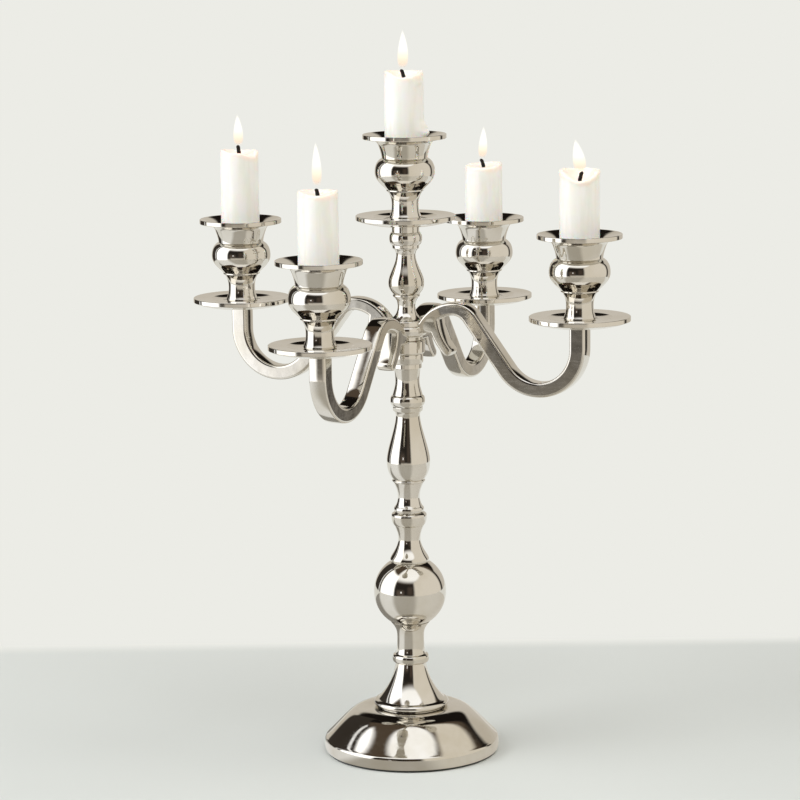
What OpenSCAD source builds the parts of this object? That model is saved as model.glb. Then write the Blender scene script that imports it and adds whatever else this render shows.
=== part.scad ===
// Five-light tabletop candelabra: turned stem on a domed foot, four cast S arms
// on two stacked hubs, five drip plates, five candle cups and five candles.
// Everything on the stem is threaded on one tie rod and clamped by a nut inside the foot.
// Origin: middle of the resting face. Arms lie along the X and Y axes.

/* [Foot] */
// Radius of the foot at its rim
foot_r = 53.6; // [46:0.2:62]
// Height of the foot above the felt
foot_h = 27.3; // [24:0.1:36]
// Height of the rim band
foot_band_h = 7.4; // [5:0.1:11]
// Wall of the hollow foot
foot_wall = 3; // [2:0.1:5]
// Radius of the flat top of the foot
foot_top_r = 20; // [18:0.2:22]
// Radius where the foot's slope bends over into its crown
foot_crown_r = 36; // [30:0.5:38]
// Depth of that bend below the flat top
foot_crown_d = 2.9; // [2:0.1:4]
// Thickness of the felt ring
felt_t = 1; // [0.6:0.1:2]
// Width of the felt ring
felt_w = 7; // [4:0.5:12]

/* [Stem] */
// Height of the bell pedestal
pedestal_h = 53; // [48:0.5:66]
// Radius of the collar at the bottom of the pedestal
pedestal_collar_r = 23; // [20:0.2:27]
// Radius of the pedestal's neck
pedestal_neck_r = 8.2; // [7:0.1:10]
// Height of the ring over the pedestal's bell
pedestal_ring_z = 27.5; // [24:0.5:28]
// Radius of the ball
ball_r = 22.2; // [18:0.2:27]
// Radius of the ball's flat seats
ball_seat_r = 11.6; // [10:0.1:13]
// Height of the waisted spindle over the ball
spindle_h = 22.6; // [19:0.2:28]
// Radius of the stem's narrow waists
waist_r = 6.7; // [5.5:0.1:8]
// Height of the lower bead ring
bead_h = 8; // [6:0.2:9.6]
// Radius of the lower bead ring
bead_r = 10.8; // [9.4:0.1:13]
// Height of the upper bead ring
upper_bead_h = 7; // [5.6:0.2:8.4]
// Radius of the upper bead ring
upper_bead_r = 10.5; // [9.2:0.1:12.6]
// Height of the collar piece under the baluster
collar_h = 19; // [16:0.2:24]
// Height of the baluster
baluster_h = 46.6; // [38:0.2:56]
// Largest radius of the baluster
baluster_r = 13.2; // [11:0.1:16]
// Height of the seat under the hubs
seat_h = 25.8; // [20.6:0.2:31]

/* [Hubs and upper stem] */
// Radius of the hub rings
hub_r = 10.9; // [9:0.1:13]
// Height of the lower hub ring
lower_hub_h = 8; // [7:0.1:10]
// Height of the upper hub ring
upper_hub_h = 9; // [8.4:0.1:11]
// Radius of the rounded collar on the upper hub
hub_collar_r = 13.1; // [12:0.1:15]
// Height of the flared socket over the hubs
socket_h = 17.2; // [14:0.2:21]
// Height of the upper baluster
upper_baluster_h = 29.1; // [24:0.2:35]
// Largest radius of the upper baluster
upper_baluster_r = 10.8; // [9:0.1:13]
// Height of the bead and cylinder under the middle plate
top_bead_h = 13.9; // [11:0.2:17]

/* [Arms] */
// Distance from the stem's axis to an arm's upright end
arm_reach = 113.3; // [96:0.5:130]
// Width of the arm bar across its curve
arm_w = 10.6; // [8:0.2:12]
// Thickness of the bar at the cup end
arm_t = 9.8; // [7.8:0.1:11.8]
// Thickness of the bar at the low bend
bend_t = 8.6; // [6.8:0.1:10.4]
// Thickness of the bar on its straight slope
slope_t = 9.1; // [7.2:0.1:11]
// Thickness of the bar at the crest
crest_t = 7.5; // [6:0.1:9]
// Height of the arm's root block on the hub
root_h = 8.4; // [6:0.1:8.8]
// Radius of the low bend, at the bar's middle
bend_r = 26; // [22:0.5:30]
// Depth of the low bend's middle below the arm's root
bend_drop = 34.6; // [30:0.2:40]
// Height of the crest above the arm's root
crest_rise = 11.1; // [9:0.1:14]
// Radius of the crest on its outer side
crest_r = 13; // [11:0.2:16]
// Radius of the sweep from the hub to the crest
sweep_r = 23; // [21:0.2:27]
// Slope of the straight run between crest and bend, in degrees
slope = 53; // [46:0.5:60]
// Thickness of the tail at its tip
tail_t = 5.6; // [4.5:0.1:7]
// Length of the tail
tail_l = 21; // [16:0.5:25]
// Height of the lower arms' roots above the bottom of their hub
lower_root = 5.5; // [4.5:0.1:6.5]
// Height of the upper arms' roots above the bottom of their hub
upper_root = 4.3; // [3.8:0.1:5.2]
// Height from an arm's root to the underside of its plate
arm_rise = 9.5; // [8:0.1:12]

/* [Drip plates] */
// Radius of the plates
plate_r = 30; // [25:0.2:36]
// Radius of the sunken middle
plate_well_r = 19.2; // [17:0.2:22]
// Depth of the sunken middle
plate_well_d = 2.2; // [1.5:0.1:3]
// Whole depth of a plate
plate_h = 6.6; // [5.5:0.1:9]
// Thickness of the plate's edge
plate_edge_t = 2.8; // [1.8:0.1:3.4]

/* [Cups] */
// Height of a cup
cup_h = 50.9; // [46:0.5:60]
// Radius of the cup's rim
cup_rim_r = 25.2; // [22:0.2:30]
// Radius where the dished mouth turns down to the well
cup_mouth_r = 19.4; // [17:0.2:21.4]
// Depth of the dished mouth at that radius
cup_dish_d = 2; // [1:0.1:2.4]
// Thickness of the rim's edge
cup_rim_t = 2.8; // [1.6:0.1:3.4]
// Largest radius of the bulb
cup_bulb_r = 18.1; // [15.5:0.1:22]
// Radius of the cup's foot
cup_foot_r = 9.6; // [8.6:0.1:12]
// Radius of the cup's waisted stem
cup_stem_r = 8.1; // [6.5:0.1:8.5]
// Wall left round the well at the throat
throat_wall = 1.4; // [1:0.1:2.5]
// Depth of the straight well under the throat's funnel
well_d = 18; // [14:0.5:20]

/* [Candles] */
// Diameter of a candle at its lower end
candle_d = 24; // [20:0.2:25]
// How much narrower a candle is at its burnt top
candle_taper = 0.8; // [0:0.1:3]
// How far the middle candle stands above its cup
stand_middle = 37.2; // [15:0.5:60]
// How far the front left candle stands above its cup
stand_front_left = 39.4; // [15:0.5:60]
// How far the front right candle stands above its cup
stand_front_right = 37.5; // [15:0.5:60]
// How far the back left candle stands above its cup
stand_back_left = 41.7; // [15:0.5:60]
// How far the back right candle stands above its cup
stand_back_right = 34; // [15:0.5:60]
// Depth of the melted hollow in a candle's top
melt_d = 1.6; // [0.5:0.1:3]
// Diameter of a wick
wick_d = 1.8; // [1.2:0.1:2.4]
// Length of the wick above the wax
wick_h = 7; // [4:0.5:10]

/* [Fasteners] */
// Diameter of the tie rod
rod_d = 6; // [5:0.5:8]
// Diameter of the studs in the arms
stud_d = 5; // [4:0.5:6]
// Depth of a stud in the arm and in the cup
stud_grip = 8; // [6:0.5:10]
// Width across the flats of the foot nut
nut_af = 10; // [10:0.5:13]
// Thickness of the foot nut
nut_t = 5; // [4:0.5:7]
// Diameter of the foot washer
washer_d = 22; // [18:0.5:30]
// Thickness of the foot washer
washer_t = 1.6; // [1:0.1:3]
// Diameter of the arms' brazed tenons
tenon_d = 5; // [4:0.1:5.6]

/* [Clearances] */
// Clearance round the tie rod and the studs, on the radius
rod_clear = 0.3; // [0.2:0.05:0.6]
// Clearance round a candle in its well, on the radius
candle_clear = 0.35; // [0.3:0.05:0.6]
// Gap left under a candle
candle_gap = 0.4; // [0.3:0.05:0.8]

/* [Hidden] */
NICKEL = [0.80, 0.78, 0.74];
STEEL = [0.55, 0.56, 0.58];
FELT = [0.08, 0.09, 0.08];
WAX = [0.95, 0.93, 0.86];
CHAR = [0.06, 0.05, 0.05];

// Steps in a curved stretch of outline
steps = 7;
// Edge radius of the turned collars
edge_r = 0.8;
// Corners broken on the edges of plates and rims
rim_break = 0.4;
// Depth of the funnel from a cup's rim down to its straight well
funnel_d = 6.4;
// How far the tie rod stands out under the foot nut
rod_tail = 4;
// Thickness of the foot under its flat top
foot_top_wall = foot_wall + 1;

// Levels of the pieces on the stem, from the resting face up
z_foot = felt_t;
z_pedestal = z_foot + foot_h;
z_ball = z_pedestal + pedestal_h;
ball_half = sqrt(ball_r * ball_r - ball_seat_r * ball_seat_r);
z_spindle = z_ball + 2 * ball_half;
z_lower_bead = z_spindle + spindle_h;
z_collar = z_lower_bead + bead_h;
z_baluster = z_collar + collar_h;
z_upper_bead = z_baluster + baluster_h;
z_seat = z_upper_bead + upper_bead_h;
z_lower_hub = z_seat + seat_h;
z_upper_hub = z_lower_hub + lower_hub_h;
z_socket = z_upper_hub + upper_hub_h;
z_upper_baluster = z_socket + socket_h;
z_top_bead = z_upper_baluster + upper_baluster_h;
z_middle_plate = z_top_bead + top_bead_h;

// Inside of the foot: ceiling that the washer presses on
foot_ceiling = z_pedestal - foot_top_wall;
z_rod = foot_ceiling - washer_t - nut_t - rod_tail;
rod_top = z_middle_plate + plate_h - plate_well_d + stud_grip;
bore_r = rod_d / 2 + rod_clear;
well_r = candle_d / 2 + candle_clear;

// Centres of the arm's arcs, from its root at the hub (radius, height)
bend_c = [arm_reach - bend_r, bend_r - bend_drop];
bend_start = bend_c - bend_r * [sin(slope), cos(slope)];
crest_z = crest_rise - crest_r;
run = (crest_z + crest_r * cos(slope) - bend_start[1]) / sin(slope);
crest_end = bend_start + run * [-cos(slope), sin(slope)];
crest_c = crest_end - crest_r * [sin(slope), cos(slope)];
sweep_c = [crest_c[0], crest_rise - sweep_r];
sweep_a = acos((sweep_r - crest_rise) / sweep_r);
// How far an arm's root block reaches into its hub, and the block's height under the sweep
root_in = 4;
block_h = root_h * 0.75;
tail_r = 34;
tail_start = [hub_r + 8.6, 4];
tail_dir = -82;
tail_turn = tail_l / tail_r * 180 / PI;

// Direction of each arm, and the height of the roots of each pair
FRONT_LEFT = 270;
FRONT_RIGHT = 0;
BACK_LEFT = 180;
BACK_RIGHT = 90;
z_low = z_lower_hub + lower_root;
z_high = z_upper_hub + upper_root;

// Heights of the arms' tenons
low_tenon_z = z_lower_hub + lower_hub_h / 2;
high_tenon_z = z_upper_hub + upper_hub_h / 2 - 1;

// ---- Outline helpers. Each leaves out its last point, where the next stretch starts.

// Bezier stretch from a to d with handles b and c
function bez(a, b, c, d, n = steps) = [for (i = [0 : n - 1]) let (t = i / n)
    pow(1 - t, 3) * a + 3 * pow(1 - t, 2) * t * b + 3 * (1 - t) * t * t * c + pow(t, 3) * d];

// Arc about c of radius r, from angle a0 to a1
function arc(c, r, a0, a1, n = steps) = [for (i = [0 : n - 1])
    let (a = a0 + (a1 - a0) * i / n) c + r * [cos(a), sin(a)]];

// Half-round moulding from height z0 up to z1 that bulges to radius r from radius r0
function bead(r0, r, z0, z1, n = 8) = [for (i = [0 : n - 1]) let (a = -90 + 180 * i / n)
    [r0 + (r - r0) * cos(a), (z0 + z1) / 2 + (z1 - z0) / 2 * sin(a)]];

// Turned piece: outline points of one side, closed along the axis, with a hole through it
module turned(side, h, hole_r) {
    rotate_extrude($fn = 96)
        polygon(concat([[hole_r, 0]], side, [[hole_r, h]]));
}

module bar_hole(d, h) {
    cylinder(d = d, h = h, $fn = 48);
}

// ---- Foot

// Slope and crown of the dome, from the shoulder over the band in to radius end_r
function dome(shoulder, crown, end_r, top) = concat(
    bez(shoulder, shoulder + [-6.4, 6.2], crown + [4.5, -2.9], crown, 7),
    bez(crown, crown + [-4.5, crown_rise(crown, top)], [crown[0] - 9, top], [end_r, top], 6));

function crown_rise(crown, top) = min(2.9, top - crown[1]);

module foot() {
    shoulder = [foot_r - 1.2, foot_band_h + 1.2];
    crown = [foot_crown_r, foot_h - foot_crown_d];
    inside_r = foot_r - felt_w;
    inside_top = foot_h - foot_top_wall;
    color(NICKEL) translate([0, 0, z_foot]) difference() {
        rotate_extrude($fn = 128) polygon(concat(
            [[0, 0]],
            bez([foot_r - 1.6, 0], [foot_r - 0.4, 0.4], [foot_r, 1.4], [foot_r, foot_band_h / 2], 4),
            bez([foot_r, foot_band_h / 2], [foot_r, foot_band_h], shoulder + [0.9, -0.7],
                shoulder, 4),
            dome(shoulder, crown, foot_top_r, foot_h),
            [[foot_top_r, foot_h], [0, foot_h]]));
        translate([0, 0, -1]) rotate_extrude($fn = 128) polygon(concat(
            [[0, 0], [inside_r, 0], [inside_r, foot_band_h]],
            dome([inside_r, foot_band_h + 1.4], crown - [foot_wall, foot_wall], foot_top_r - 4,
                inside_top + 1),
            [[foot_top_r - 4, inside_top + 1], [0, inside_top + 1]]));
        bar_hole(2 * bore_r, foot_h + 1);
    }
}

module felt_ring() {
    color(FELT) difference() {
        cylinder(r = foot_r - 1.6, h = felt_t, $fn = 96);
        translate([0, 0, -1]) cylinder(r = foot_r - felt_w, h = felt_t + 2, $fn = 96);
    }
}

module foot_washer() {
    color(STEEL) translate([0, 0, foot_ceiling - washer_t]) difference() {
        bar_hole(washer_d, washer_t);
        translate([0, 0, -1]) bar_hole(rod_d + 2 * rod_clear, washer_t + 2);
    }
}

module foot_nut() {
    color(STEEL) translate([0, 0, foot_ceiling - washer_t - nut_t]) difference() {
        cylinder(d = nut_af / cos(30), h = nut_t, $fn = 6);
        translate([0, 0, -1]) bar_hole(rod_d, nut_t + 2);
    }
}

module tie_rod() {
    color(STEEL) translate([0, 0, z_rod]) bar_hole(rod_d, rod_top - z_rod);
}

// ---- Stem, from the foot up

module pedestal() {
    ring_h = 5;
    ring_top = pedestal_ring_z + ring_h;
    ring_r = pedestal_neck_r + 2.8;
    collar_h = 4.7;
    color(NICKEL) translate([0, 0, z_pedestal]) turned(concat(
        [[pedestal_collar_r - 2.8, 0]],
        bez([pedestal_collar_r - 2.8, 0.4], [pedestal_collar_r + 0.9, 0.5],
            [pedestal_collar_r + 0.9, collar_h - 0.6], [pedestal_collar_r - 2.6, collar_h]),
        bez([pedestal_collar_r - 2.6, collar_h], [pedestal_collar_r - 7.5, 9.5],
            [pedestal_neck_r + 2.4, 17.5], [pedestal_neck_r + 0.9, pedestal_ring_z], 9),
        [[ring_r - edge_r, pedestal_ring_z]],
        bez([ring_r, pedestal_ring_z + edge_r], [ring_r + 0.2, pedestal_ring_z + 2],
            [ring_r + 0.2, ring_top - 2], [ring_r, ring_top - edge_r], 4),
        [[ring_r - edge_r, ring_top]],
        bez([pedestal_neck_r + 1.1, ring_top + 0.4], [pedestal_neck_r, ring_top + 3],
            [pedestal_neck_r, pedestal_h - 11], [pedestal_neck_r + 0.1, pedestal_h - 7.5], 5),
        bez([pedestal_neck_r + 0.1, pedestal_h - 7.5], [pedestal_neck_r + 0.3, pedestal_h - 4.5],
            [pedestal_neck_r + 1.7, pedestal_h - 2.6], [ball_seat_r + 0.5, pedestal_h], 5),
        [[ball_seat_r + 0.5, pedestal_h]]), pedestal_h, bore_r);
}

module ball_knop() {
    seat_a = acos(ball_seat_r / ball_r);
    color(NICKEL) translate([0, 0, z_ball]) turned(concat(
        arc([0, ball_half], ball_r, -seat_a, seat_a, 16),
        [[ball_seat_r, 2 * ball_half]]), 2 * ball_half, bore_r);
}

module lower_spindle() {
    color(NICKEL) translate([0, 0, z_spindle]) turned(concat(
        [[ball_seat_r + 0.2, 0]],
        bez([ball_seat_r + 0.4, 1.2], [ball_seat_r + 0.2, 3.4], [waist_r + 1.7, 6.4],
            [waist_r + 0.4, 11.5]),
        bez([waist_r + 0.4, 11.5], [waist_r - 0.3, 15], [waist_r, spindle_h - 5.4],
            [waist_r + 2.4, spindle_h]),
        [[waist_r + 2.4, spindle_h]]), spindle_h, bore_r);
}

// Bead ring of height h and radius r, fullest at height peak
module bead_ring(h, r, peak) {
    turned(concat([[r - 1.5, 0]],
        bez([r - 1.2, 0.4], [r - 0.3, peak * 0.3], [r, peak * 0.6], [r, peak], 4),
        bez([r, peak], [r, h - (h - peak) * 0.4], [r - 0.4, h - 0.8], [r - 1.1, h - 0.3], 4),
        [[r - 1.5, h]]), h, bore_r);
}

module lower_bead() {
    color(NICKEL) translate([0, 0, z_lower_bead]) bead_ring(bead_h, bead_r, bead_h * 0.7);
}

module baluster_collar() {
    color(NICKEL) translate([0, 0, z_collar]) turned(concat(
        bead(waist_r + 1.7, waist_r + 2.5, 0, 3.6, 5),
        bez([waist_r + 1.7, 3.6], [waist_r + 0.5, 5.4], [waist_r, 7.4], [waist_r, 10]),
        bez([waist_r, 10], [waist_r + 0.1, 13], [waist_r + 0.9, collar_h - 3.2],
            [waist_r + 2.9, collar_h], 6),
        [[waist_r + 2.9, collar_h]]), collar_h, bore_r);
}

module baluster() {
    belly_z = baluster_h * 0.27;
    color(NICKEL) translate([0, 0, z_baluster]) turned(concat(
        bead(waist_r + 2.7, waist_r + 3.4, 0, 1.4, 4),
        bez([waist_r + 2.8, 1.4], [waist_r + 4.8, 4], [baluster_r, 7], [baluster_r, belly_z]),
        bez([baluster_r, belly_z], [baluster_r, belly_z + 7.5],
            [waist_r + 1.2, baluster_h - 14.5], [waist_r + 0.6, baluster_h - 6.4], 10),
        bez([waist_r + 0.6, baluster_h - 6.4], [waist_r + 0.5, baluster_h - 4.4],
            [waist_r + 1.2, baluster_h - 3.4], [waist_r + 2.2, baluster_h - 2.6], 4),
        [[waist_r + 2.4, baluster_h]]), baluster_h, bore_r);
}

module upper_bead() {
    color(NICKEL) translate([0, 0, z_upper_bead])
        bead_ring(upper_bead_h, upper_bead_r, upper_bead_h / 2);
}

module hub_seat() {
    step_z = seat_h - 9.4;
    color(NICKEL) translate([0, 0, z_seat]) turned(concat(
        bez([waist_r + 2.4, 0], [waist_r + 1.7, 3], [waist_r + 0.6, 5.4], [waist_r + 0.6, 8.8], 6),
        bez([waist_r + 0.6, 8.8], [waist_r + 0.6, 10.4], [waist_r + 0.9, step_z - 2],
            [waist_r + 1.3, step_z], 4),
        [[waist_r + 2, step_z + 0.2], [waist_r + 2, step_z + 3.2]],
        [[hub_r - 1.4, step_z + 3.4], [hub_r - 1.2, step_z + 4.2],
            [hub_r - 1.2, seat_h - 0.8], [hub_r - 1.6, seat_h]]), seat_h, bore_r);
}

// ---- Hubs. The solid outlines are used again to cope the arms' roots.

module lower_hub_body() {
    turned([[hub_r - 0.6, 0], [hub_r, 0.6], [hub_r, lower_hub_h - 0.6],
        [hub_r - 0.6, lower_hub_h]], lower_hub_h, bore_r);
}

module upper_hub_body() {
    collar_z = upper_hub_h - 6;
    turned(concat([[hub_r - 1.6, 0], [hub_r - 1.2, 0.4], [hub_r - 1.2, collar_z - 0.6]],
        bez([hub_r - 0.8, collar_z], [hub_collar_r + 0.7, collar_z],
            [hub_collar_r + 0.7, upper_hub_h], [hub_r + 0.8, upper_hub_h], 8),
        [[hub_r + 0.8, upper_hub_h]]), upper_hub_h, bore_r);
}

// Radial holes for one pair of tenons, along the arms' direction
module tenon_holes(turn, z) {
    for (a = [turn, turn + 180])
        rotate([0, 0, a]) translate([bore_r - 1, 0, z]) rotate([0, 90, 0])
            bar_hole(tenon_d, hub_collar_r + 2);
}

module lower_hub() {
    color(NICKEL) difference() {
        translate([0, 0, z_lower_hub]) lower_hub_body();
        tenon_holes(BACK_RIGHT, low_tenon_z);
    }
}

module upper_hub() {
    color(NICKEL) difference() {
        translate([0, 0, z_upper_hub]) upper_hub_body();
        tenon_holes(FRONT_RIGHT, high_tenon_z);
    }
}

// ---- Upper stem

module upper_socket() {
    color(NICKEL) translate([0, 0, z_socket]) turned(concat(
        [[hub_r + 0.3, 0], [hub_r + 0.3, 2.9], [hub_r - 0.3, 3.5]],
        bez([hub_r - 1.5, 3.7], [hub_r - 4.4, 6.2], [waist_r - 1.2, 8], [waist_r - 1.4, 11.5]),
        bez([waist_r - 1.4, 11.5], [waist_r - 1.3, 13.4], [waist_r - 1, socket_h - 2.2],
            [waist_r - 0.2, socket_h - 1.4], 3),
        [[waist_r + 0.6, socket_h]]), socket_h, bore_r);
}

module upper_baluster() {
    belly_z = upper_baluster_h * 0.29;
    color(NICKEL) translate([0, 0, z_upper_baluster]) turned(concat(
        bead(waist_r + 0.8, waist_r + 1.5, 0, 1.8, 4),
        bez([waist_r + 1.3, 1.8], [waist_r + 2.8, 3.4], [upper_baluster_r, 5.4],
            [upper_baluster_r, belly_z]),
        bez([upper_baluster_r, belly_z], [upper_baluster_r, belly_z + 5.4],
            [waist_r - 0.4, belly_z + 10.4], [waist_r - 0.9, upper_baluster_h - 4], 9),
        bez([waist_r - 0.9, upper_baluster_h - 4], [waist_r - 1, upper_baluster_h - 2.4],
            [waist_r - 0.4, upper_baluster_h - 1], [waist_r + 0.6, upper_baluster_h], 4),
        [[waist_r + 0.6, upper_baluster_h]]), upper_baluster_h, bore_r);
}

module top_bead() {
    step = 2.4;
    cap = 3.6;
    color(NICKEL) translate([0, 0, z_top_bead]) turned(concat(
        [[waist_r + 0.8, 0], [waist_r + 1.3, 0.6], [waist_r + 1.5, step]],
        bead(waist_r + 1.5, bead_r - 0.9, step + 0.2, top_bead_h - cap, 8),
        [[waist_r + 1.5, top_bead_h - cap], [waist_r + 1.5, top_bead_h]]), top_bead_h, bore_r);
}

// ---- Arms, drawn in the plane of radius and height with the root at height 0

// Middle line of the arm as [point, heading, thickness], from the root to the upright end
arm_path = concat(
    [for (i = [0 : 7]) let (a = sweep_a * (1 - i / 8))
        [sweep_c + sweep_r * [-sin(a), cos(a)], a, crest_t]],
    [for (i = [0 : 7]) let (a = slope * i / 7)
        [crest_c + crest_r * [sin(a), cos(a)], -a, crest_t + (slope_t - crest_t) * i / 7]],
    [for (i = [0 : 7]) let (a = slope * (i / 8 - 1))
        [bend_c + bend_r * [sin(a), -cos(a)], a, slope_t + (bend_t - slope_t) * i / 8]],
    [for (i = [0 : 10]) let (a = 90 * i / 10)
        [bend_c + bend_r * [sin(a), -cos(a)], a, bend_t + (arm_t - bend_t) * i / 10]],
    [[[arm_reach, arm_rise], 90, arm_t]]);

// Middle line of the tail, which hangs from the root and turns outwards
tail_c = tail_start + tail_r * [-sin(tail_dir), cos(tail_dir)];
tail_path = [for (i = [0 : 6]) let (a = tail_dir + tail_turn * i / 6)
    [tail_c + tail_r * [sin(a), -cos(a)], a, crest_t + (tail_t - crest_t) * i / 6]];

// Outline of a bar along a path: one side out and the other side back
function bar_outline(path) = concat(
    [for (p = path) p[0] + p[2] / 2 * [-sin(p[1]), cos(p[1])]],
    [for (i = [len(path) - 1 : -1 : 0]) let (p = path[i])
        p[0] - p[2] / 2 * [-sin(p[1]), cos(p[1])]]);

// Flat bar of the arm and its tail, stood up in the XZ plane
module arm_bar() {
    tip = tail_path[len(tail_path) - 1];
    rotate([90, 0, 0]) linear_extrude(height = arm_w, center = true) {
        translate([hub_r - root_in, -root_h / 2])
            square([tail_start[0] - hub_r + root_in, block_h]);
        polygon(bar_outline(arm_path));
        polygon(bar_outline(tail_path));
        translate(tip[0]) circle(d = tail_t, $fn = 32);
    }
}

module arm(turn, z_root, tenon_z) {
    color(NICKEL) rotate([0, 0, turn]) difference() {
        union() {
            translate([0, 0, z_root]) arm_bar();
            translate([bore_r + 1, 0, tenon_z]) rotate([0, 90, 0])
                bar_hole(tenon_d, hub_r - bore_r + 5);
        }
        children();
        translate([arm_reach, 0, z_root + arm_rise - stud_grip]) bar_hole(stud_d, stud_grip + 1);
    }
}

module low_arm(turn) {
    arm(turn, z_low, low_tenon_z) lower_cope();
}

module high_arm(turn) {
    arm(turn, z_high, high_tenon_z) upper_cope();
}

// What the lower arms' roots are shaped to: their hub with the tenon's hole left open, and the
// rings above and below it
module lower_cope() {
    difference() {
        translate([0, 0, z_lower_hub]) lower_hub_body();
        tenon_holes(0, low_tenon_z);
    }
    translate([0, 0, z_upper_hub]) upper_hub_body();
    translate([0, 0, z_lower_hub - seat_h]) cylinder(r = hub_r - 1.2, h = seat_h, $fn = 96);
    core();
}

// The same for the upper arms
module upper_cope() {
    difference() {
        translate([0, 0, z_upper_hub]) upper_hub_body();
        tenon_holes(0, high_tenon_z);
    }
    translate([0, 0, z_lower_hub]) lower_hub_body();
    translate([0, 0, z_socket]) cylinder(r = hub_r + 0.3, h = socket_h, $fn = 96);
    core();
}

// Bore of the stem, which nothing from an arm may enter
module core() {
    translate([0, 0, z_seat]) cylinder(r = bore_r + 1, h = z_top_bead - z_seat, $fn = 64);
}

module arm_front_left() { low_arm(FRONT_LEFT); }
module arm_back_right() { low_arm(BACK_RIGHT); }
module arm_front_right() { high_arm(FRONT_RIGHT); }
module arm_back_left() { high_arm(BACK_LEFT); }

module arm_studs() {
    stud_l = 2 * stud_grip + plate_h - plate_well_d;
    color(STEEL) {
        for (turn = [FRONT_LEFT, BACK_RIGHT]) at_arm(turn, z_low) stud(stud_l);
        for (turn = [FRONT_RIGHT, BACK_LEFT]) at_arm(turn, z_high) stud(stud_l);
    }
}

module stud(l) {
    translate([0, 0, -stud_grip]) bar_hole(stud_d, l);
}

// Places its children on an arm's upright end
module at_arm(turn, z_root) {
    rotate([0, 0, turn]) translate([arm_reach, 0, z_root + arm_rise]) children();
}

// ---- Drip plates, drawn from their underside

// Height of a plate's sunken floor above its underside
plate_floor = plate_h - plate_well_d;

// Crisp upright edge of radius r from height z0 up to z1, with its corners broken
function rim_band(r, z0, z1) = [[r - rim_break, z0], [r, z0 + rim_break],
    [r, z1 - rim_break], [r - rim_break, z1]];

module plate(hole_d) {
    floor_r = plate_well_r - 7;
    color(NICKEL) difference() {
        rotate_extrude($fn = 128) polygon(concat(
            [[0, 0]],
            bez([cup_foot_r + 1, 0], [plate_r * 0.56, 0.5], [plate_r * 0.8, 1.8],
                [plate_r - rim_break, plate_h - plate_edge_t], 7),
            rim_band(plate_r, plate_h - plate_edge_t, plate_h),
            bez([plate_r - 1.2, plate_h], [plate_r - 4, plate_h - 0.2],
                [plate_well_r + 3, plate_h - 0.5], [plate_well_r + 0.2, plate_h - 0.5], 3),
            bez([plate_well_r + 0.2, plate_h - 0.5], [plate_well_r - 0.6, plate_h - 0.9],
                [plate_well_r - 3.6, plate_floor], [floor_r, plate_floor], 8),
            [[floor_r, plate_floor], [0, plate_floor]]));
        translate([0, 0, -1]) bar_hole(hole_d + 2 * rod_clear, plate_h + 2);
    }
}

module plate_middle() { translate([0, 0, z_middle_plate]) plate(rod_d); }
module plate_front_left() { at_arm(FRONT_LEFT, z_low) plate(stud_d); }
module plate_back_right() { at_arm(BACK_RIGHT, z_low) plate(stud_d); }
module plate_front_right() { at_arm(FRONT_RIGHT, z_high) plate(stud_d); }
module plate_back_left() { at_arm(BACK_LEFT, z_high) plate(stud_d); }

// ---- Cups, drawn from the floor of their plate's sunken middle

throat_z = cup_h - 14.3;
throat_r = well_r + throat_wall;
ridge_z = 17.3;
ridge_r = cup_stem_r + 3;
floor_z = cup_h - funnel_d - well_d;

module cup(hole_d) {
    bulb_z = ridge_z + (throat_z - ridge_z) * 0.56;
    color(NICKEL) difference() {
        rotate_extrude($fn = 128) polygon(concat(
            [[0, 0], [cup_foot_r - 0.4, 0], [cup_foot_r, 0.5]],
            bez([cup_foot_r, 1.6], [cup_stem_r + 0.6, 3.4], [cup_stem_r, 5], [cup_stem_r, 8.6]),
            bez([cup_stem_r, 8.6], [cup_stem_r, 12], [cup_stem_r + 0.8, 14.6],
                [ridge_r - 0.6, ridge_z - 0.8]),
            [[ridge_r + 0.2, ridge_z - 0.4]],
            bez([ridge_r + 0.1, ridge_z + 0.4], [ridge_r + 2.6, ridge_z + 3.2],
                [cup_bulb_r, bulb_z - 4.8], [cup_bulb_r, bulb_z], 8),
            bez([cup_bulb_r, bulb_z], [cup_bulb_r, bulb_z + 4.6], [throat_r + 2.6, throat_z - 1.3],
                [throat_r, throat_z], 8),
            bez([throat_r, throat_z], [throat_r + 0.3, throat_z + 3], [throat_r + 1.2, throat_z + 5.4],
                [throat_r + 2.2, throat_z + 8.2], 5),
            bez([throat_r + 2.2, throat_z + 8.2], [throat_r + 3.6, throat_z + 11],
                [cup_rim_r - 5, cup_h - cup_rim_t - 0.4],
                [cup_rim_r - rim_break, cup_h - cup_rim_t], 5),
            rim_band(cup_rim_r, cup_h - cup_rim_t, cup_h),
            bez([cup_rim_r - 0.9, cup_h - 0.1], [cup_mouth_r, cup_h - cup_dish_d],
                [well_r + 1.2, cup_h - funnel_d / 2], [well_r, cup_h - funnel_d], 12),
            [[well_r, cup_h - funnel_d], [well_r, floor_z], [0, floor_z]]));
        translate([0, 0, -1]) bar_hole(hole_d, stud_grip + 1);
    }
}

module on_plate() {
    translate([0, 0, plate_floor]) children();
}

module cup_middle() { translate([0, 0, z_middle_plate]) on_plate() cup(rod_d); }
module cup_front_left() { at_arm(FRONT_LEFT, z_low) on_plate() cup(stud_d); }
module cup_back_right() { at_arm(BACK_RIGHT, z_low) on_plate() cup(stud_d); }
module cup_front_right() { at_arm(FRONT_RIGHT, z_high) on_plate() cup(stud_d); }
module cup_back_left() { at_arm(BACK_LEFT, z_high) on_plate() cup(stud_d); }

// ---- Candles and wicks, drawn from the floor of their cup's well

function candle_l(stand) = cup_h - floor_z - candle_gap + stand;

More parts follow.
